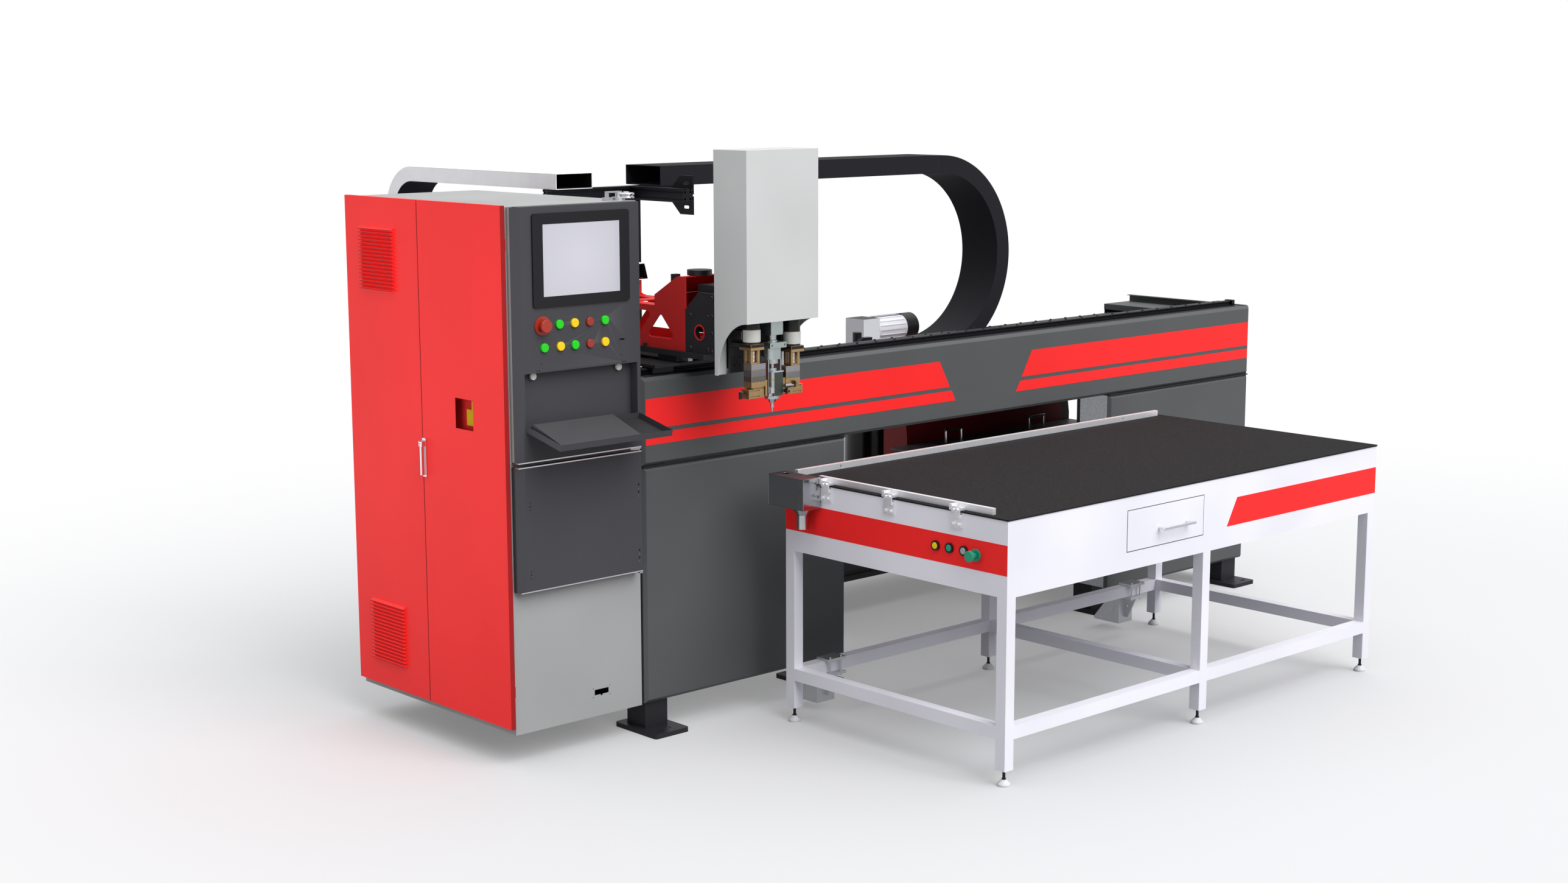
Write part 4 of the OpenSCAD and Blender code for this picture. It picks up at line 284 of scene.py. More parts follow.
def finishes(c):
    """Every finish of the machine, by a short name."""
    return {
        "door_red": powder_coat("red powder coat", c.door_red, 0.38),
        "band_red": powder_coat("red vinyl band", c.band_red, 0.5, 2.0, 0.04),
        "truss_red": powder_coat("red powder coat on the truss", c.truss_red, 0.45),
        # painted shade: the hood's red is darker than the doors' red
        "hood_red_shaded": powder_coat("red powder coat on the hood, darkened as painted shade", "84181B", 0.42),
        # the same red where it lies in the shade of a recess or a neighbour
        "shade_red": powder_coat("red powder coat in the shade", "9C1618", 0.5),
        "deep_red": powder_coat("red powder coat inside the cut-out", "D42A2A", 0.6),
        "yellow_flag": powder_coat("yellow powder coat inside the cut-out", "C8A800", 0.5),
        # painted shade: a dark strip that darkens the gap between the doors
        "painted_gap_shade": powder_coat("painted shade in the gap between the doors", "6E1618", 0.7),
        "cover_grey": powder_coat("dark grey powder coat", c.cover_grey, 0.5),
        "console": powder_coat("charcoal structured powder coat", c.console_grey, 0.5, 2.4, 0.25),
        "cabinet": powder_coat("light grey powder coat", c.cabinet_grey, 0.5),
        "head_cover": powder_coat("pale grey powder coat", "CACCCB", 0.42),
        "table_white": powder_coat("white powder coat", c.table_white, 0.4),
        "frame_black": powder_coat("black powder coat", "26262A", 0.42),
        "lid_grey": powder_coat("grey powder coat on the lid", "55565A", 0.4),
        # black oxide leaves steel dark, dense and faintly oily
        "black_steel": powder_coat("black oxide on milled steel", "2D2D30", 0.36, 1.6, 0.1),
        "extrusion": metal("black anodised extrusion", "2B2B2F", 0.42, (0.02, 0.02, 1), 1.6),
        # real on the rails' seals; painted shade where it fills the gap under the crossbeam's cover
        "seal_black_and_gap_shade": moulded("black rubber seal, also painted gap shade", "1C1C1F", 0.5, 1.6, 0.1),
        "rail": metal("ground bearing steel", "A9ABAF", 0.3, (0.02, 1, 1), 1.4),
        "rail_black": metal("black chromed rail", "2A2A2D", 0.4, (0.02, 1, 1), 1.4),
        "zinc": metal("bright zinc plating", "C6C8CC", 0.32, (1, 1, 1), 4.0, 0.1),
        "sheet": metal("bright galvanised sheet", "BDBFC4", 0.42, (1, 1, 1), 9.0, 0.08, 0.09),
        "dark_screw": metal("black oxide socket screw", "6A6A70", 0.3, (1, 1, 1), 1.2),
        "machined": metal("milled clear-anodised aluminium", "D2D3D7", 0.36, (1, 1, 0.05), 1.6),
        "bright_cast": powder_coat("silver paint on the gearbox", "E4E5EC", 0.34, 2.0, 0.08),
        "cast": metal("die-cast aluminium", "A2A4A8", 0.45, (1, 1, 1), 2.6, 0.3),
        "bronze": metal("bronze-anodised aluminium", "B79A70", 0.42, (1, 1, 0.04), 1.4, 0.12, 0.06),
        "pump_top": metal("clear-anodised pump plate", "A5A5A9", 0.4, (1, 1, 0.04), 1.3),
        "pump_mid": metal("grey-anodised pump plate", "88898C", 0.4, (1, 1, 0.04), 1.3),
        "pump_low": metal("dark-anodised pump plate", "777571", 0.4, (1, 1, 0.04), 1.3),
        "slate": metal("slate-anodised aluminium", "B3BDBC", 0.38, (1, 1, 0.05), 1.3, 0.12, 0.04),
        "olive": metal("hard-anodised aluminium", "565C57", 0.45, (1, 1, 1), 1.2, 0.12, 0.04),
        "turned": metal("turned steel", "B4B6B9", 0.28, (1, 1, 0.03), 1.0, 0.2),
        "brass": metal("turned brass", "C9A24A", 0.3, (1, 1, 0.03), 1.0, 0.2),
        "chrome": metal("satin chrome", "E2E4E8", 0.16, (1, 1, 1), 2.0, 0.03, 0.02),
        "bore_black": powder_coat("unlit bore", "070708", 0.9, 1.6, 0.02),
        "motor_black": powder_coat("black stoved enamel", "1E1E20", 0.35, 1.6),
        "label_white": moulded("blank pale label film", "C4C5C1", 0.35, 2.0, 0.05),
        "bar_white": metal("bright-anodised flat bar", "F0F0F3", 0.55, (1, 1, 0.05), 1.6,
                           0.1, 0.02),
        "gap_grey": powder_coat("shaded sheet edge", "3A3A3E", 0.7),
        "duct_white": moulded("white polyamide", "FDFBFF", 0.5, 1.2, 0.04),
        "duct_black": moulded("black polyamide", "242428", 0.7, 1.2, 0.06, 0.0, 0.1),
        "bezel": moulded("dark ABS bezel", "1F1F22", 0.42, 1.2, 0.2, 0.0, 0.2),
        "black_plastic": moulded("black ABS", "1B1B1D", 0.35, 1.2, 0.2),
        "keyboard": moulded("dark grey ABS", "464648", 0.6, 1.2, 0.2, 0.0, 0.2),
        # painted shade on the faces of the keyboard tray that look up
        "tray_floor_shade": powder_coat("charcoal powder coat in the tray", "2F2F31", 0.55, 2.4, 0.2),
        "tank_black": powder_coat("glossy black enamel", "08080A", 0.14, 4.0, 0.04),
        "foot_pad": moulded("pale grey foot pad", "D4D4D8", 0.45, 1.2, 0.1),
        # a bright metal strip that stands in for the highlight on a sheet edge
        "edge_highlight": metal("bright strip of painted highlight", "E4E5E8", 0.3, (1, 1, 1), 2.0, 0.05, 0.02),
        "nylon": moulded("natural nylon", "D6D5D1", 0.4, 1.2, 0.1),
        "green": moulded("green push button cap", "14D20A", 0.32, 1.0, 0.03, 0.3),
        "yellow": moulded("yellow push button cap", "F6CE04", 0.32, 1.0, 0.03, 0.3),
        "dark_red": moulded("dark red push button cap", "96301F", 0.32, 1.0, 0.03, 0.3),
        "stop_red": moulded("emergency stop head", "A43020", 0.35, 1.0, 0.03, 0.3),
        "teal": moulded("teal push button cap", "149A78", 0.32, 1.0, 0.03, 0.3),
        "grey_cap": moulded("grey push button cap", "A2A4A6", 0.32, 1.0, 0.03, 0.3),
        "mat": rubber_mat(),
        "polished": polished_sheet(),
        "display": display_face(),
    }


F = {}  # the finishes, which main() fills in


# ---------------------------------------------------------------- mesh helpers


def linked(name, data):
    """A new object, linked to the scene."""
    obj = bpy.data.objects.new(name, data)
    bpy.context.scene.collection.objects.link(obj)
    return obj


def applied(obj):
    """The mesh of an object, with its modifiers applied."""
    return bpy.data.meshes.new_from_object(
        obj.evaluated_get(bpy.context.evaluated_depsgraph_get()))


def box_mm(node):
    """A CAD node's lowest and highest corners at rest, in millimetres."""
    return [Vector(v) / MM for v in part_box(node)]


def settle(piece, node):
    """Lets a piece ride with a CAD node's body."""
    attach(piece, BODY[node])


def merge(bm, **limits):
    """Merges a mesh's doubles, and drops the edges inside its flat faces."""
    near, flat = 2e-6, math.radians(0.4)
    bmesh.ops.remove_doubles(bm, verts=bm.verts, dist=near)
    bmesh.ops.dissolve_limit(bm, angle_limit=flat, verts=bm.verts, edges=bm.edges, **limits)


def ease(bm, edge, angle):
    """Bevels a merged mesh's hard edges and shades the rest smooth."""
    def bent(e, degrees):
        return len(e.link_faces) == 2 and e.calc_face_angle(0) > math.radians(degrees)

    sharp = [e for e in bm.edges if bent(e, angle)]
    if edge > 0 and sharp:
        bmesh.ops.bevel(bm, geom=sharp, offset=edge, offset_type="OFFSET", segments=2,
                        profile=0.5, affect="EDGES", clamp_overlap=True, loop_slide=False,
                        harden_normals=False)
    for f in bm.faces:
        f.smooth = True
    for e in bm.edges:
        if bent(e, KINK if edge > 0 else angle):
            e.smooth = False


def finish_piece(name, bm, materials, node):
    """Makes the object of a mesh, which rides with a CAD node."""
    mesh = bpy.data.meshes.new(name)
    bm.to_mesh(mesh)
    bm.free()
    for m in materials:
        mesh.materials.append(F[m])
    piece = linked(name, mesh)
    # normals weighted by area keep a large flat face even right up to its eased edge
    piece.modifiers.new("normals", "WEIGHTED_NORMAL").keep_sharp = True
    piece.data = applied(piece)
    piece.modifiers.clear()
    settle(piece, node)
    return piece


def islands(bm):
    """The separate solids of a mesh, each as its faces."""
    seen, out = set(), []
    for start in bm.faces:
        if start in seen:
            continue
        stack, group = [start], []
        seen.add(start)
        while stack:
            f = stack.pop()
            group.append(f)
            for e in f.edges:
                for g in e.link_faces:
                    if g not in seen:
                        seen.add(g)
                        stack.append(g)
        out.append(group)
    return out


def joined(bm):
    """One skin around solids that stand 0.1 mm apart, so that no seam shows.

    Each solid grows by just over half the gap about its own middle, and the
    boolean then drops what lies inside.
    """
    grow = 0.056 * MM
    groups = islands(bm)
    if len(groups) < 2:
        return bm
    for group in groups:
        verts = {v for f in group for v in f.verts}
        lo = Vector([min(v.co[i] for v in verts) for i in range(3)])
        hi = Vector([max(v.co[i] for v in verts) for i in range(3)])
        mid, size = (lo + hi) / 2, hi - lo
        for v in verts:
            v.co = Vector([mid[i] + (v.co[i] - mid[i]) * (size[i] + 2 * grow) / size[i]
                           for i in range(3)])
    parts = []
    for chosen in (groups[:-1], groups[-1:]):
        wanted = {f for g in chosen for f in g}
        some = bm.copy()
        some.faces.ensure_lookup_table()
        bm.faces.index_update()
        drop = [some.faces[f.index] for f in bm.faces if f not in wanted]
        bmesh.ops.delete(some, geom=drop, context="FACES")
        mesh = bpy.data.meshes.new("seam")
        some.to_mesh(mesh)
        some.free()
        parts.append(linked("seam", mesh))
    mod = parts[0].modifiers.new("join", "BOOLEAN")
    mod.operation, mod.solver, mod.use_self, mod.object = "UNION", "EXACT", True, parts[1]
    out = bmesh.new()
    out.from_mesh(applied(parts[0]))
    bm.free()
    merge(out, delimit={"MATERIAL"})
    for part in parts:
        bpy.data.objects.remove(part)
    return out


def dress(node, finish, rules=(), edge=None, angle=28, facing=None, weld=False):
    """A copy of a CAD node with its edges eased, and a finish for each of its solids.

    A rule is a finish with a box in millimetres; a solid whose middle lies in the
    box takes it. facing is a finish for the faces that look along a direction.
    weld joins solids that only the CAD keeps 0.1 mm apart.
    """
    edge = bpy.context.scene.machine_sizes.sheet_edge if edge is None else edge
    bm = bmesh.new()
    bm.from_mesh(NODES[node].data)
    merge(bm)
    names = [finish]
    for group in islands(bm):
        pts = [v.co for f in group for v in f.verts]
        mid = [(min(p[i] for p in pts) + max(p[i] for p in pts)) / 2 / MM for i in range(3)]
        key = next((key for key, b in rules
                    if all(b[2 * i] <= mid[i] <= b[2 * i + 1] for i in range(3))), finish)
        if key not in names:
            names.append(key)
        for f in group:
            f.material_index = names.index(key)
    if weld:
        bm = joined(bm)
    if facing:
        key, way = facing
        names.append(key)
        for f in bm.faces:
            if f.normal.dot(Vector(way)) > 0.95:
                f.material_index = len(names) - 1
    ease(bm, edge, angle)
    piece = finish_piece("dressed_" + node, bm, names, node)
    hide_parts(node)
    return piece


def block(bm, x0, x1, y0, y1, z0, z1, mat):
    """Adds a box to a mesh, its corners given in millimetres."""
    vs = bmesh.ops.create_cube(bm, size=1.0)["verts"]
    for v in vs:
        v.co = Vector(((x0 if v.co.x < 0 else x1) * MM, (y0 if v.co.y < 0 else y1) * MM,
                       (z0 if v.co.z < 0 else z1) * MM))
    for f in {f for v in vs for f in v.link_faces}:
        f.material_index = mat


def turned(bm, base, axis, profile, steps, mat=0):
    """Adds a turned part: profile is (distance along the axis, radius) in millimetres.

    Only the last radius may be 0, which closes the part in a point.
    """
    axis = Vector(axis).normalized()
    turn = axis.to_track_quat("Z", "Y").to_matrix()

    def ring(h, r):
        turns = [2 * math.pi * k / steps for k in range(steps if r > 0 else 1)]
        return [bm.verts.new((Vector(base) + axis * h + turn @ Vector(
            (r * math.cos(t), r * math.sin(t), 0))) * MM) for t in turns]

    rings = [ring(h, r) for h, r in profile]
    for a, b in zip(rings, rings[1:]):
        for k in range(steps):
            j = (k + 1) % steps
            rest = (b[0],) if len(b) == 1 else (b[j], b[k])
            bm.faces.new((a[k], a[j], *rest)).material_index = mat
    bm.faces.new(rings[0][::-1]).material_index = mat
    if len(rings[-1]) > 1:
        bm.faces.new(rings[-1]).material_index = mat


# ---------------------------------------------------------------- fasteners


def socket_head():
    """A socket cap screw head of unit radius, its seat at the origin, up +Z."""
    name = "socket head"
    if name in bpy.data.objects:
        return bpy.data.objects[name]
    bm = bmesh.new()
    turned(bm, (0, 0, 0), UP, [(0, 1000), (880, 1000), (1000, 900), (1000, 560),
                               (450, 520), (450, 0)], steps=12)
    mesh = bpy.data.meshes.new(name)
    bm.to_mesh(mesh)
    bm.free()
    return bpy.data.objects.new(name, mesh)


def scatter_tree():
    """Geometry nodes that set a screw head on each point, along the point's own direction."""
    name = "set screws"
    if name in bpy.data.node_groups:
        return bpy.data.node_groups[name]
    tree = bpy.data.node_groups.new(name, "GeometryNodeTree")
    for key, way, kind in (("Geometry", "INPUT", "Geometry"), ("Head", "INPUT", "Object"),
                           ("Radius", "INPUT", "Float"), ("Finish", "INPUT", "Material"),
                           ("Geometry", "OUTPUT", "Geometry")):
        tree.interface.new_socket(key, in_out=way, socket_type="NodeSocket" + kind)
    given = add(tree, "NodeGroupInput").outputs
    head = add(tree, "GeometryNodeObjectInfo", {"Object": given["Head"]})
    aim = add(tree, "GeometryNodeInputNamedAttribute", {"Name": "aim"}, data_type="FLOAT_VECTOR")
    turn = add(tree, "FunctionNodeAlignRotationToVector",
               {"Vector": aim.outputs["Attribute"]}, axis="Z")
    size = add(tree, "ShaderNodeCombineXYZ", {way: given["Radius"] for way in "XYZ"})
    points = add(tree, "GeometryNodeInstanceOnPoints",
                 {"Points": given["Geometry"], "Instance": head.outputs["Geometry"],
                  "Rotation": turn.outputs["Rotation"], "Scale": size.outputs["Vector"]})
    real = add(tree, "GeometryNodeRealizeInstances", {"Geometry": points.outputs["Instances"]})
    coat = add(tree, "GeometryNodeSetMaterial",
               {"Geometry": real.outputs["Geometry"], "Material": given["Finish"]})
    add(tree, "NodeGroupOutput", {"Geometry": coat.outputs["Geometry"]})
    return tree


def screws(name, node, places, radius, finish):
    """Socket screws on a node, each at (x, y, z, direction) in millimetres, as one piece."""
    mesh = bpy.data.meshes.new(name + "_points")
    mesh.from_pydata([[c * MM for c in p[:3]] for p in places], [], [])
    aim = mesh.attributes.new("aim", "FLOAT_VECTOR", "POINT")
    for k, p in enumerate(places):
        aim.data[k].vector = p[3]
    seed = linked(name + "_points", mesh)
    tree = scatter_tree()
    mod = seed.modifiers.new("screws", "NODES")
    mod.node_group = tree
    ids = {s.name: s.identifier for s in tree.interface.items_tree if s.in_out == "INPUT"}
    mod[ids["Head"]] = socket_head()
    mod[ids["Radius"]] = radius
    mod[ids["Finish"]] = F[finish]
    real = applied(seed)
    bpy.data.objects.remove(seed)
    # the points' own mesh leaves an empty material slot, so the list is made anew
    real.materials.clear()
    real.materials.append(F[finish])
    for poly in real.polygons:
        poly.material_index = 0
    settle(linked(name, real), node)


def turned_parts(name, node, parts, *materials):
    """Turned parts on a node, as one piece: each is (base, axis, profile, material)."""
    bm = bmesh.new()
    for base, axis, profile, mat in parts:
        turned(bm, base, axis, profile, 20, mat)
    ease(bm, 0, CREASE)
    finish_piece(name, bm, materials, node)


def blocks(name, node, boxes, *materials):
    """Blocks on a node, as one piece: each is six bounds in millimetres and a material."""
    bm = bmesh.new()
    for b in boxes:
        block(bm, *b)
    ease(bm, 0, CREASE)
    finish_piece(name, bm, materials, node)


def holes(name, node, places, radius):
    """Screw holes in a front face, drawn in the unlit black as painted shade: a thin rim with a
    sunken floor at each place.
    """
    rim = radius + 0.5
    profile = [(0.0, rim), (0.35, rim), (0.4, radius), (0.15, radius * 0.9), (0.15, 0)]
    turned_parts(name, node, [(at, FRONT, profile, 0) for at in places], "bore_black")


def paint(piece, finish, chosen):
    """Gives another finish to the faces for which chosen(middle in mm, normal) holds."""
    piece.data.materials.append(F[finish])
    for poly in piece.data.polygons:
        if chosen(poly.center / MM, poly.normal):
            poly.material_index = len(piece.data.materials) - 1


def facing_line(x, z):
    """Says whether a face looks at the line along Y through x and z: a duct's inside, which takes
    painted shade.
    """
    def chosen(at, normal):
        inward = Vector((x - at.x, 0, z - at.z))
        reach = max(abs(inward.x), abs(inward.z))
        return abs(normal.y) < 0.3 and normal.dot(inward) > 0.24 * reach
    return chosen


# ---------------------------------------------------------------- stage


def set_camera(scene):
    """The photograph's camera: its lens, and its heading, tilt and roll in degrees."""
    at, heading, tilt, roll = (-5.5918, -6.9366, 2.7209), -42.576, 90 - 9.448, -0.131
    cam = linked("camera", bpy.data.cameras.new("camera"))
    cam.data.sensor_fit = "HORIZONTAL"
    cam.data.sensor_width = 36.0
    cam.data.lens = 50.73
    cam.data.clip_end = 200
    turn = (Matrix.Rotation(math.radians(heading), 4, "Z")
            @ Matrix.Rotation(math.radians(tilt), 4, "X")
            @ Matrix.Rotation(math.radians(roll), 4, "Z"))
    cam.matrix_world = Matrix.Translation(at) @ turn
    scene.camera = cam


def lay_floor():
    """A seamless matt floor that takes the machine's soft shadow and runs out to white."""
    reach = 60
    mesh = bpy.data.meshes.new("floor")
    mesh.from_pydata([(-reach, -reach, 0), (reach, -reach, 0), (reach, reach, 0),
                      (-reach, reach, 0)], [], [(0, 1, 2, 3)])
    floor = linked("floor", mesh)
    mat, tree, skin, place = blank(
        "matt white studio floor", {"Roughness": 0.9, "Specular IOR Level": 0.1})
    rays = add(tree, "ShaderNodeLightPath").outputs
    paper = add(tree, "ShaderNodeMix", {"Factor": rays["Is Camera Ray"], "A": linear("96979A"),
                                        "B": linear("CACBCD")}, data_type="RGBA")
    tree.links.new(paper.outputs["Result"], skin.inputs["Base Color"])
    # from 3.2 m to 7.5 m off the machine's middle the floor fades into the white room
    away = add(tree, "ShaderNodeVectorMath", {0: place, 1: (2.0, -0.2, 0.0)},
               operation="DISTANCE")
    fade = add(tree, "ShaderNodeMapRange", {"Value": away.outputs["Value"], "From Min": 3.2,
                                            "From Max": 7.5, "To Min": 0.2},
               interpolation_type="SMOOTHSTEP")
    seen = add(tree, "ShaderNodeMath", {0: rays["Is Camera Ray"], 1: rays["Is Glossy Ray"]},
               operation="MAXIMUM")
    part = add(tree, "ShaderNodeMath", {0: fade.outputs["Result"], 1: seen.outputs["Value"]},
               operation="MULTIPLY")
    white = add(tree, "ShaderNodeEmission", {"Color": linear("FFFFFF"), "Strength": 1.0})
    both = add(tree, "ShaderNodeMixShader",
               {0: part.outputs["Value"], 1: skin.outputs["BSDF"], 2: white.outputs["Emission"]})
    out = next(n for n in tree.nodes if n.type == "OUTPUT_MATERIAL")
    tree.links.new(both.outputs["Shader"], out.inputs["Surface"])
    mesh.materials.append(mat)
    return floor


def light_room(scene):
    """A white room, darker on the left so that the faces that look that way lie in shade."""
    world = bpy.data.worlds.new("studio")
    world.use_nodes = True
    tree = world.node_tree
    tree.nodes.clear()
    rays = add(tree, "ShaderNodeLightPath").outputs
    place = add(tree, "ShaderNodeTexCoord").outputs["Generated"]
    way = add(tree, "ShaderNodeSeparateXYZ", {"Vector": place})
    side = add(tree, "ShaderNodeMapRange",
               {"Value": way.outputs["X"], "From Min": -1.0, "From Max": 1.0,
                "To Min": 0.2, "To Max": 0.66})
    lit = add(tree, "ShaderNodeBackground",
              {"Color": linear("F8F8FA"), "Strength": side.outputs["Result"]})
    glint = add(tree, "ShaderNodeBackground", {"Color": linear("F8F8FA"), "Strength": 0.6})
    pale = add(tree, "ShaderNodeBackground", {"Color": linear("FFFFFF"), "Strength": 1.0})
    one = add(tree, "ShaderNodeMixShader", {0: rays["Is Glossy Ray"], 1: lit.outputs["Background"],
                                            2: glint.outputs["Background"]})
    two = add(tree, "ShaderNodeMixShader", {0: rays["Is Camera Ray"], 1: one.outputs["Shader"],
                                            2: pale.outputs["Background"]})
    add(tree, "ShaderNodeOutputWorld", {"Surface": two.outputs["Shader"]})
    scene.world = world


def hang_lamps(scene, floor):
    """Large soft sources: high in front of the machine, overhead, and at the left."""
    def aimed(obj, towards):
        obj.rotation_euler = Vector(towards).to_track_quat("Z", "Y").to_euler()

    for name, towards, angle, power in (("key", (0.02, -0.56, 0.5), 50, 2.5),
                                        ("top", (0.05, 0.1, 1.0), 100, 1.9)):
        lamp = bpy.data.lights.new(name, "SUN")
        lamp.angle = math.radians(angle)
        lamp.energy = power
        aimed(linked(name, lamp), towards)
    # the panel's fall-off leaves the doors bright and the table in shade
    lamp = bpy.data.lights.new("side panel", "AREA")
    lamp.shape, lamp.energy = "RECTANGLE", 25.5
    lamp.size, lamp.size_y = 2.4, 1.8
    panel = linked("side panel", lamp)
    panel.location = (-3.1, 0.3, 1.75)
    aimed(panel, LEFT)
    panel.visible_glossy = False
    # it lights only the machine, so that the floor stays even
    lit = bpy.data.collections.new("lit by the side panel")
    for piece in scene.objects:
        if piece.type == "MESH" and piece != floor:
            lit.objects.link(piece)
    panel.light_linking.receiver_collection = lit


# ---------------------------------------------------------------- operators


class MACHINE_OT_stage(bpy.types.Operator):
    """Camera at the photograph's view, pale floor, soft studio light"""

    bl_idname = "machine.stage"
    bl_label = "Stage"

    def execute(self, context):
        scene = context.scene
        scene.view_settings.view_transform = "Standard"
        set_camera(scene)
        floor = lay_floor()
        light_room(scene)
        hang_lamps(scene, floor)
        return {"FINISHED"}


class MACHINE_OT_gantry(bpy.types.Operator):
    """Posts, beams, covers, bands and rails"""

    bl_idname = "machine.gantry"
    bl_label = "Gantry"

    def execute(self, context):
        s = context.scene.machine_sizes
        dress("gantry_frame", "frame_black", edge=2 * s.sheet_edge)
        dress("x_rails", "rail_black", edge=FINE)
        dress("front_fascia", "cover_grey", weld=True)
        dress("pillar_panels", "cover_grey", weld=True)
        dress("pillar_inner_panels", "sheet")
        dress("red_stripes", "band_red", edge=0)
        # a row of screws along the top of each rail
        rails, pitch, end = ((100, 1523.0), (710, 1427.0)), 120, 4060
        screws("rail_screws", "x_rails",
               [(x, y, z, UP) for y, z in rails for x in range(pitch, end, pitch)],
               s.rail_screw, "black_steel")
        # black seals cover the rail and the rack along the whole beam
        blocks("rail_seals", "x_rails", [(60, 4087, 84, 117, 1523.9, 1524.3, 0),
                                         (60, 4087, 142.5, 161.5, 1519, 1519.4, 0)],
               "seal_black_and_gap_shade")
        # black strips of painted shade fill the gap between the crossbeam's cover and the panels
        # below it
        blocks("panel_seals", "pillar_panels",
               [(x0, x1, 2, 14, 1131.1, 1136.9, 0) for x0, x1 in ((1, 1156), (2991, 4146))],
               "seal_black_and_gap_shade")
        return {"FINISHED"}


class MACHINE_OT_cabinet(bpy.types.Operator):
    """Cabinet shell, its doors with the handle, and what shows through the openings"""

    bl_idname = "machine.cabinet"
    bl_label = "Control cabinet"

    def execute(self, context):
        dress("cabinet_shell", "cabinet", weld=True)
        dress("rear_door", "door_red", edge=THIN, weld=True)
        dress("front_door", "door_red", edge=THIN, facing=("shade_red", FRONT), weld=True)
        dress("cabinet_fittings", "zinc", [
            ("black_steel", (-140, -60, *ANY, 650, 1500)),
            ("yellow_flag", (-656, -642, 200, 280, *ANY)),
            ("deep_red", (-645, -638, 0, 370, 1280, 1500)),
            ("machined", (-130, -20, 40, 110, 2200, 2300))], edge=FINE)
        dress("handle_base", "chrome", edge=ROUND)
        dress("handle_lever", "chrome", edge=ROUND)
        # the grooved nut and the stud of the clamp at the top's front corner
        nut = [(0, 30), (3, 33), (7, 33), (9, 28), (12, 28), (14, 33), (20, 33), (23, 30),
               (23, 12), (27, 12), (27, 0)]
        turned_parts("clamp_nut", "cabinet_fittings", [((-22, 60, 2228.5), UP, nut, 0)],
                     "chrome")
        # a dark strip of painted shade along the rear door's free edge, in the gap between the
        # doors
        blocks("door_seal", "rear_door", [(-684.6, -683.9, 571.0, 573.8, 165, 2226, 0)],
               "painted_gap_shade")
        # the shaded lower lip of each slat of the upper and the lower louvre
        pitch, count = 15.4, 17
        slats = [(y, z + pitch * k) for y, z in ((740, 1848), (738, 273)) for k in range(count)]
        blocks("louvre_lips", "rear_door",
               [(-698.4, -697.9, y + 1, y + 249, z + 0.2, z + 3.4, 0) for y, z in slats],
               "shade_red")
        # sheet and flag of the main switch behind the cut-out
        blocks("switch_recess", "cabinet_fittings",
               [(-643.1, -641, 355, 470, 1300, 1490, 0),
                (-655, -643.2, 262.5, 296, 1348, 1412, 1)], "deep_red", "yellow_flag")
        return {"FINISHED"}


class MACHINE_OT_console(bpy.types.Operator):
    """Operator console, screen, keyboard tray and lower door"""

    bl_idname = "machine.console"
    bl_label = "Operator console"

    def execute(self, context):
        dress("console_housing", "console", [
            ("bezel", (-570, -90, -60, -40, 1900, 2150)),
            ("cabinet", (-650, -645, -11, 10, *ANY)),
            ("stop_red", (-530, -520, -46.5, -40, 1740, 1790)),
            ("nylon", (-580, -90, -20, 0, 1540, 1590)),
            ("black_plastic", (-146, -120, -60, 0, 1655, 1700)),
            ("zinc", (-100, -30, -45, 12, 690, 1225)),
            ("zinc", (-330, -300, -44, -42, 1340, 1360))], weld=True)
        dress("console_lower_door", "console", weld=True)
        # painted shade: the keyboard tray's faces that look up take a darker charcoal
        dress("keyboard_tray", "console", edge=FINE, facing=("tray_floor_shade", UP), weld=True)
        dress("keyboard", "keyboard", edge=ROUND)
        dress("screen_glass", "display", edge=THIN)
        # bright metal strips of painted highlight on the edges of the folded sheets above and below
        # the gap, and along the lower door
        blocks("console_bare_edges", "console_housing",
               [(-650.4, -41, -40.9, -39.9, 1230.2, 1234.5, 0),
                (-650.9, -649.9, -40, 10, 1230.2, 1234.5, 0)], "edge_highlight")
        lo, hi = box_mm("console_lower_door")
        y, low, high = lo.y, (lo.z + 0.2, lo.z + 4.5), (hi.z - 4.5, hi.z - 0.2)
        blocks("lower_door_bare_edges", "console_lower_door",
               [(lo.x + 0.5, hi.x - 0.5, y - 0.9, y + 0.1, *high, 0),
                (lo.x + 0.5, hi.x - 0.5, y - 0.9, y + 0.1, *low, 0),
                (lo.x - 0.9, lo.x + 0.1, y, hi.y, *high, 0)], "edge_highlight")
        # a plate with the data socket fills the small cut-out beside the buttons; the socket's slot
        # and its two holes are painted shade in the unlit black
        blocks("socket_plate", "console_housing",
               [(-150, -116, -41.0, -40.05, 1659, 1692, 0),
                (-143, -123, -41.6, -41.0, 1674, 1681, 1),
                (-146, -143.4, -41.4, -41.0, 1676, 1679, 1),
                (-122.6, -120, -41.4, -41.0, 1676, 1679, 1)], "console", "bore_black")
        # roller catches under the upper edge of the recess: a collar around a bore, which is a flat
        # disc of painted shade
        collar = [(0, 10.5), (0.8, 10.5), (1.4, 9.6), (1.4, 4.4)]
        bore = [(0, 4.4), (0.9, 4.4), (0.9, 0)]
        catches, z = (-550, -127), 1564
        turned_parts("catch_bores", "console_housing",
                     [((x, -12.0, z), FRONT, collar, 0) for x in catches]
                     + [((x, -12.4, z), FRONT, bore, 1) for x in catches],
                     "nylon", "bore_black")
        holes("console_holes", "console_housing",
              [(x, -40, z) for x, z in ((-553, 1587.1), (-540.5, 1586.7), (-128, 1586.3),
                                        (-116.2, 1586.6), (-529.7, 1613.6), (-139.5, 1613.5))],
              1.6)
        holes("lower_door_holes", "console_lower_door",
              [(-57.3, y, z) for z in (1077.6, 1047.0, 805.4, 774.4)], 3.6)
        holes("lower_door_small_holes", "console_lower_door",
              [(-600.4, y, z) for z in (1071.0, 1059.0, 799.0, 786.8)], 1.6)
        return {"FINISHED"}


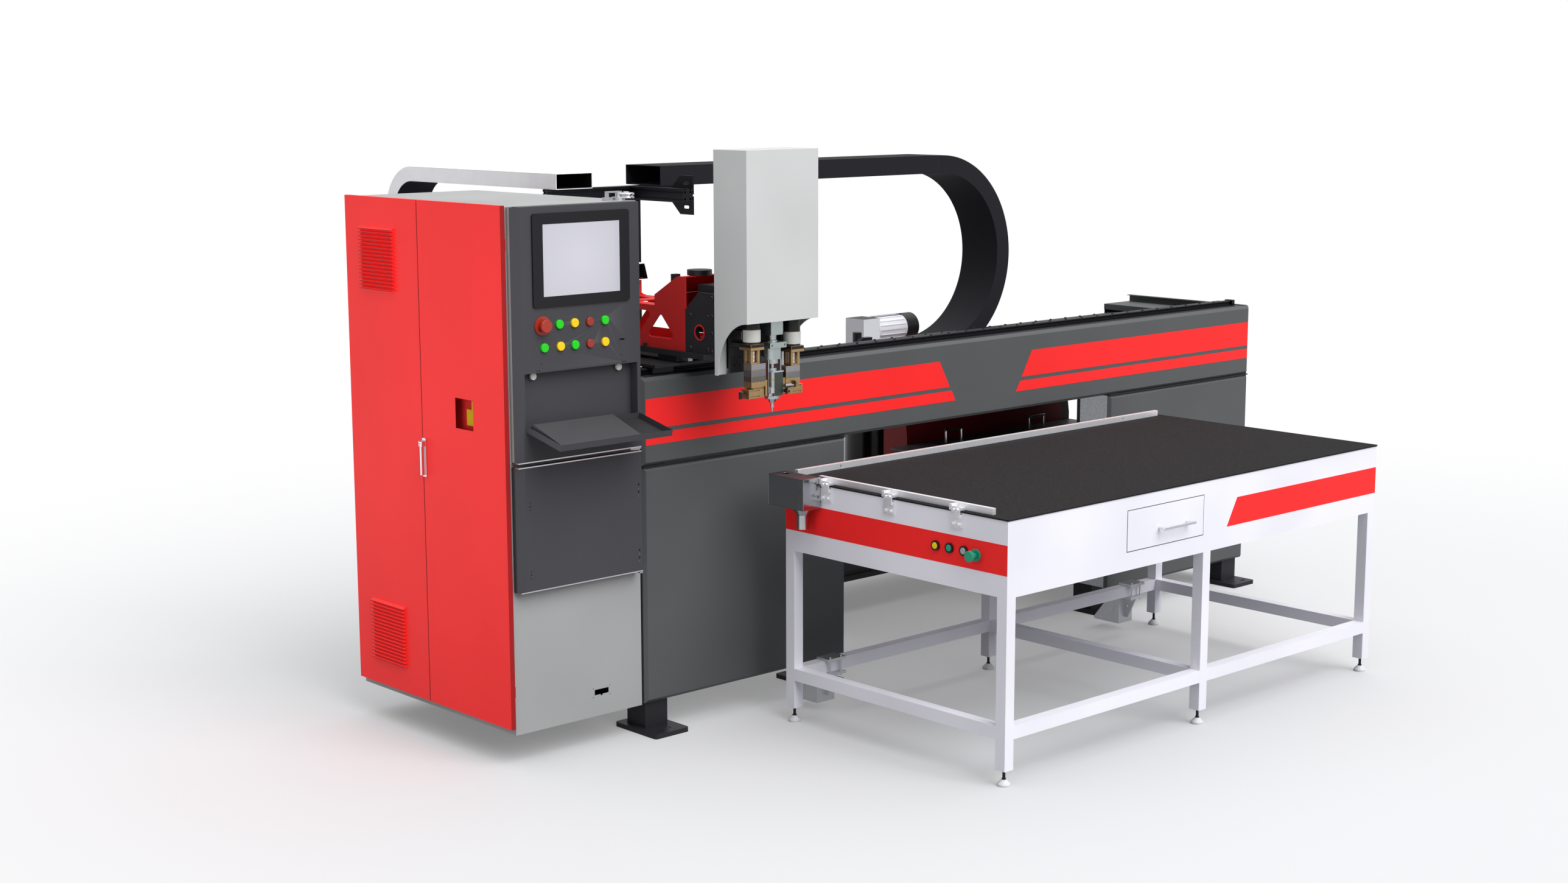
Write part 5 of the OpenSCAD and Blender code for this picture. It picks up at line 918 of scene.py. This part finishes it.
class MACHINE_OT_buttons(bpy.types.Operator):
    """Push buttons of the console and the table, with their rings"""

    bl_idname = "machine.buttons"
    bl_label = "Push buttons"

    def execute(self, context):
        rim = context.scene.machine_sizes.cap_edge
        for key, finish in (("a1", "green"), ("a2", "yellow"), ("a3", "dark_red"),
                            ("a4", "green"), ("b1", "green"), ("b2", "yellow"),
                            ("b3", "green"), ("b4", "dark_red"), ("b5", "yellow")):
            dress("button_" + key, finish, edge=rim)
        dress("emergency_stop", "stop_red", edge=DOMED)
        for key, finish in (("yellow", "yellow"), ("green", "teal"), ("grey", "grey_cap")):
            dress("table_button_" + key, finish, edge=rim)
        dress("table_mushroom", "teal", edge=DOMED)
        return {"FINISHED"}


class MACHINE_OT_table(bpy.types.Operator):
    """Work table, mat, locating bars, drawer, brackets and purge funnel"""

    bl_idname = "machine.table"
    bl_label = "Work table"

    def execute(self, context):
        s = context.scene.machine_sizes
        dress("table_frame", "table_white", [
            ("black_plastic", (555, 569, -1290, -1080, 870, 930)),
            ("teal", (555, 569, -1350, -1290, 870, 930))], edge=THIN, weld=True)
        dress("table_mat", "mat", edge=EASED)
        dress("locating_bars", "bar_white", edge=s.block_edge)
        # a foot is a pale pad on the floor, with a black stem above it
        pad_top = 26
        feet = dress("table_feet", "foot_pad", edge=PLAIN)
        paint(feet, "motor_black", lambda at, normal: at.z > pad_top)
        dress("table_brackets", "machined", edge=s.block_edge)
        dress("drawer", "table_white", edge=THIN, weld=True)
        dress("drawer_handle", "chrome", edge=PLAIN)
        # the shaded gap around the drawer's front
        lo, hi = box_mm("drawer")
        near, far, face = 0.6, 3.2, (-1480.3, -1479.8)
        blocks("drawer_gap", "table_frame",
               [(lo.x - far, lo.x - near, *face, lo.z - far, hi.z + far, 0),
                (hi.x + near, hi.x + far, *face, lo.z - far, hi.z + far, 0),
                (lo.x - near, hi.x + near, *face, lo.z - far, lo.z - near, 0),
                (lo.x - near, hi.x + near, *face, hi.z + near, hi.z + far, 0)], "gap_grey")
        dress("purge_funnel", "polished", edge=FINE)
        return {"FINISHED"}


class MACHINE_OT_supply(bpy.types.Operator):
    """Supply unit behind the crossbeam"""

    bl_idname = "machine.supply"
    bl_label = "Supply unit"

    def execute(self, context):
        s = context.scene.machine_sizes
        dress("supply_tank", "tank_black", edge=ROUND)
        dress("supply_hood", "frame_black", [
            ("lid_grey", (2400, 3900, 740, 1010, 797, 809)),
            ("hood_red_shaded", (2570, 3825, 1000, 1190, 300, 1245)),
            ("chrome", (2740, 2900, 880, 920, 809, 900)),
            ("chrome", (3400, 3560, 880, 920, 809, 900))], edge=2 * s.sheet_edge)
        dress("agitator_motor", "bright_cast", [("motor_black", (2869, 2960, *ANY, *ANY))],
              edge=PLAIN, facing=("motor_black", UP))
        dress("air_regulator", "cast", [
            ("black_plastic", (2410, 2560, 1200, 1265, 1295, 1400)),
            ("label_white", (2410, 2470, 1185, 1218, *ANY))], edge=PLAIN)
        return {"FINISHED"}


class MACHINE_OT_ducts(bpy.types.Operator):
    """Cable ducts of the saddle and the arm"""

    bl_idname = "machine.ducts"
    bl_label = "Cable ducts"

    def execute(self, context):
        run = {node: dress(node, finish, edge=FINE, angle=20) for node, finish in (
            ("x_duct_lower", "duct_black"), ("x_duct_bend", "duct_black"),
            ("x_duct_upper", "duct_black"), ("y_duct_lower", "duct_white"),
            ("y_duct_upper", "duct_white"), ("y_duct_bend", "duct_white"))}
        # painted shade: the white duct's inside takes the unlit black
        for node in ("y_duct_lower", "y_duct_upper"):
            lo, hi = box_mm(node)
            paint(run[node], "bore_black", facing_line((lo.x + hi.x) / 2, (lo.z + hi.z) / 2))

        # painted shade: the white bend's faces that look in towards the loop's middle take the
        # black duct's finish
        def inner(at, normal):
            inward = (Vector((at.x, 2040, 2067)) - at).normalized()
            return abs(normal.x) < 0.3 and normal.dot(inward) > 0.8

        paint(run["y_duct_bend"], "duct_black", inner)
        bpy.context.view_layer.update()
        x, y = run["x_duct_upper"], run["y_duct_upper"]
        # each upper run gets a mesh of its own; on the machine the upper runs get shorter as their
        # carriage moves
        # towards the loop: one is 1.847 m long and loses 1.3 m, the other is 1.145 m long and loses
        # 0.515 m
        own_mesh(x)
        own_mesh(y)
        return {"FINISHED"}


class MACHINE_OT_carriages(bpy.types.Operator):
    """Saddle, overhead frame, arm and head cover"""

    bl_idname = "machine.carriages"
    bl_label = "Saddle and arm"

    def execute(self, context):
        s = context.scene.machine_sizes
        dress("saddle", "black_steel", edge=s.block_edge)
        dress("overhead_frame", "extrusion", edge=FINE)
        dress("arm_truss", "truss_red")
        dress("arm_carrier", "black_steel", [
            ("rail", (240, 470, 100, 1900, 1548, 1571)),
            ("rail", (240, 470, -290, -260, 1600, 2160))], edge=s.block_edge)
        dress("z_cover", "head_cover", edge=2 * s.sheet_edge, weld=True)
        # socket screws in the bores on both sides of the head bracket
        spots = [(-40, 1746), (-148, 1747), (-40, 1612.5), (-148, 1612.5), (-175, 1825),
                 (-175, 1752), (-175, 1679), (-175, 1606)]
        screws("bracket_screws", "arm_carrier",
               [(x, y, z, d) for y, z in spots for x, d in ((231, LEFT), (476, RIGHT))],
               s.bracket_screw, "dark_screw")
        # small screws on the feet of the truss's stands
        screws("stand_screws", "arm_truss",
               [(x, y, z, UP) for x in (258, 282, 425, 449)
                for y in (550, 580, 1190, 1220, 1810, 1840) for z in (1775, 1843)],
               s.stand_screw, "truss_red")
        return {"FINISHED"}


class MACHINE_OT_head(bpy.types.Operator):
    """Head plate, mixer, pumps and their couplings"""

    bl_idname = "machine.head"
    bl_label = "Dispensing head"

    def execute(self, context):
        s = context.scene.machine_sizes
        dress("head_plate", "black_steel", edge=s.block_edge)
        dress("mixer_body", "slate", [
            ("turned", (340, 370, -410, -380, 1555, 1567)),
            ("machined", (318, 324, *ANY, 1440, 1610)),
            ("machined", (382, 390, *ANY, 1530, 1610)),
            ("olive", (365, 375, *ANY, 1480, 1492)),
            ("brass", (330, 337, *ANY, 1508, 1511)),
            ("turned", (330, 337, *ANY, 1485, 1530)),
            ("machined", (330, 340, *ANY, 1460, 1470)),
            ("machined", (350, 365, *ANY, 1480, 1495)),
            ("turned", (340, 370, *ANY, 1360, 1440)),
            ("black_steel", (*ANY, -345, -300, *ANY))], edge=PLAIN)
        # both pumps are stacked alike, and the right one hangs 24.3 mm lower
        rules = []
        for x0, x1, drop in ((180, 320, 0.0), (385, 520, 24.3)):
            rules += [("motor_black", (x0, x1, -450, -340, 1750, 1850)),
                      ("label_white", (x0, x1, -450, -340, 1686 - drop, 1696 - drop)),
                      ("motor_black", (x0, x1, -450, -340, 1645 - drop, 1668 - drop)),
                      ("pump_top", (x0, x1, -450, -340, 1560 - drop, 1570 - drop)),
                      ("pump_mid", (x0, x1, -450, -340, 1536 - drop, 1547 - drop))]
        rules += [("pump_low", (180, 320, -450, -340, 1512, 1522)),
                  ("black_steel", (*ANY, -345, -300, *ANY)),
                  ("turned", (405, 416, *ANY, 1470, 1480)),
                  ("brass", (424, 428, *ANY, 1470, 1480)),
                  ("chrome", (430, 440, *ANY, 1470, 1480)),
                  ("motor_black", (440, 460, -435, -420, 1470, 1500)),
                  ("motor_black", (395, 412, -441, -415, 1445, 1465)),
                  ("motor_black", (170, 207, *ANY, 1440, 1475))]
        dress("pumps", "bronze", rules, edge=PLAIN)
        dress("mixer_rotor", "turned", edge=FINE)
        for side in ("left", "right"):
            dress("pump_coupling_" + side, "machined", edge=FINE)
        return {"FINISHED"}


class MACHINE_PT_panel(bpy.types.Panel):
    """The machine's colours, sizes and operators"""

    bl_idname = "MACHINE_PT_panel"
    bl_label = "Foam gasket machine"
    bl_space_type = "VIEW_3D"
    bl_region_type = "UI"
    bl_category = "Machine"

    def draw(self, context):
        for group in (context.scene.machine_colours, context.scene.machine_sizes):
            for key in group.__annotations__:
                self.layout.prop(group, key)
        for op in OPERATORS:
            self.layout.operator(op.bl_idname)


OPERATORS = (MACHINE_OT_gantry, MACHINE_OT_cabinet, MACHINE_OT_console,
             MACHINE_OT_buttons, MACHINE_OT_table, MACHINE_OT_supply, MACHINE_OT_ducts,
             MACHINE_OT_carriages, MACHINE_OT_head, MACHINE_OT_stage)
CLASSES = (MachineColours, MachineSizes, *OPERATORS, MACHINE_PT_panel)


def register():
    for c in CLASSES:
        bpy.utils.register_class(c)
    bpy.types.Scene.machine_colours = bpy.props.PointerProperty(type=MachineColours)
    bpy.types.Scene.machine_sizes = bpy.props.PointerProperty(type=MachineSizes)


def unregister():
    del bpy.types.Scene.machine_sizes
    del bpy.types.Scene.machine_colours
    for c in reversed(CLASSES):
        bpy.utils.unregister_class(c)


def main():
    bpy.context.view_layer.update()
    register()
    F.update(finishes(bpy.context.scene.machine_colours))
    for op in OPERATORS:
        group, name = op.bl_idname.split(".")
        getattr(getattr(bpy.ops, group), name)()


if __name__ == "__main__":
    main()
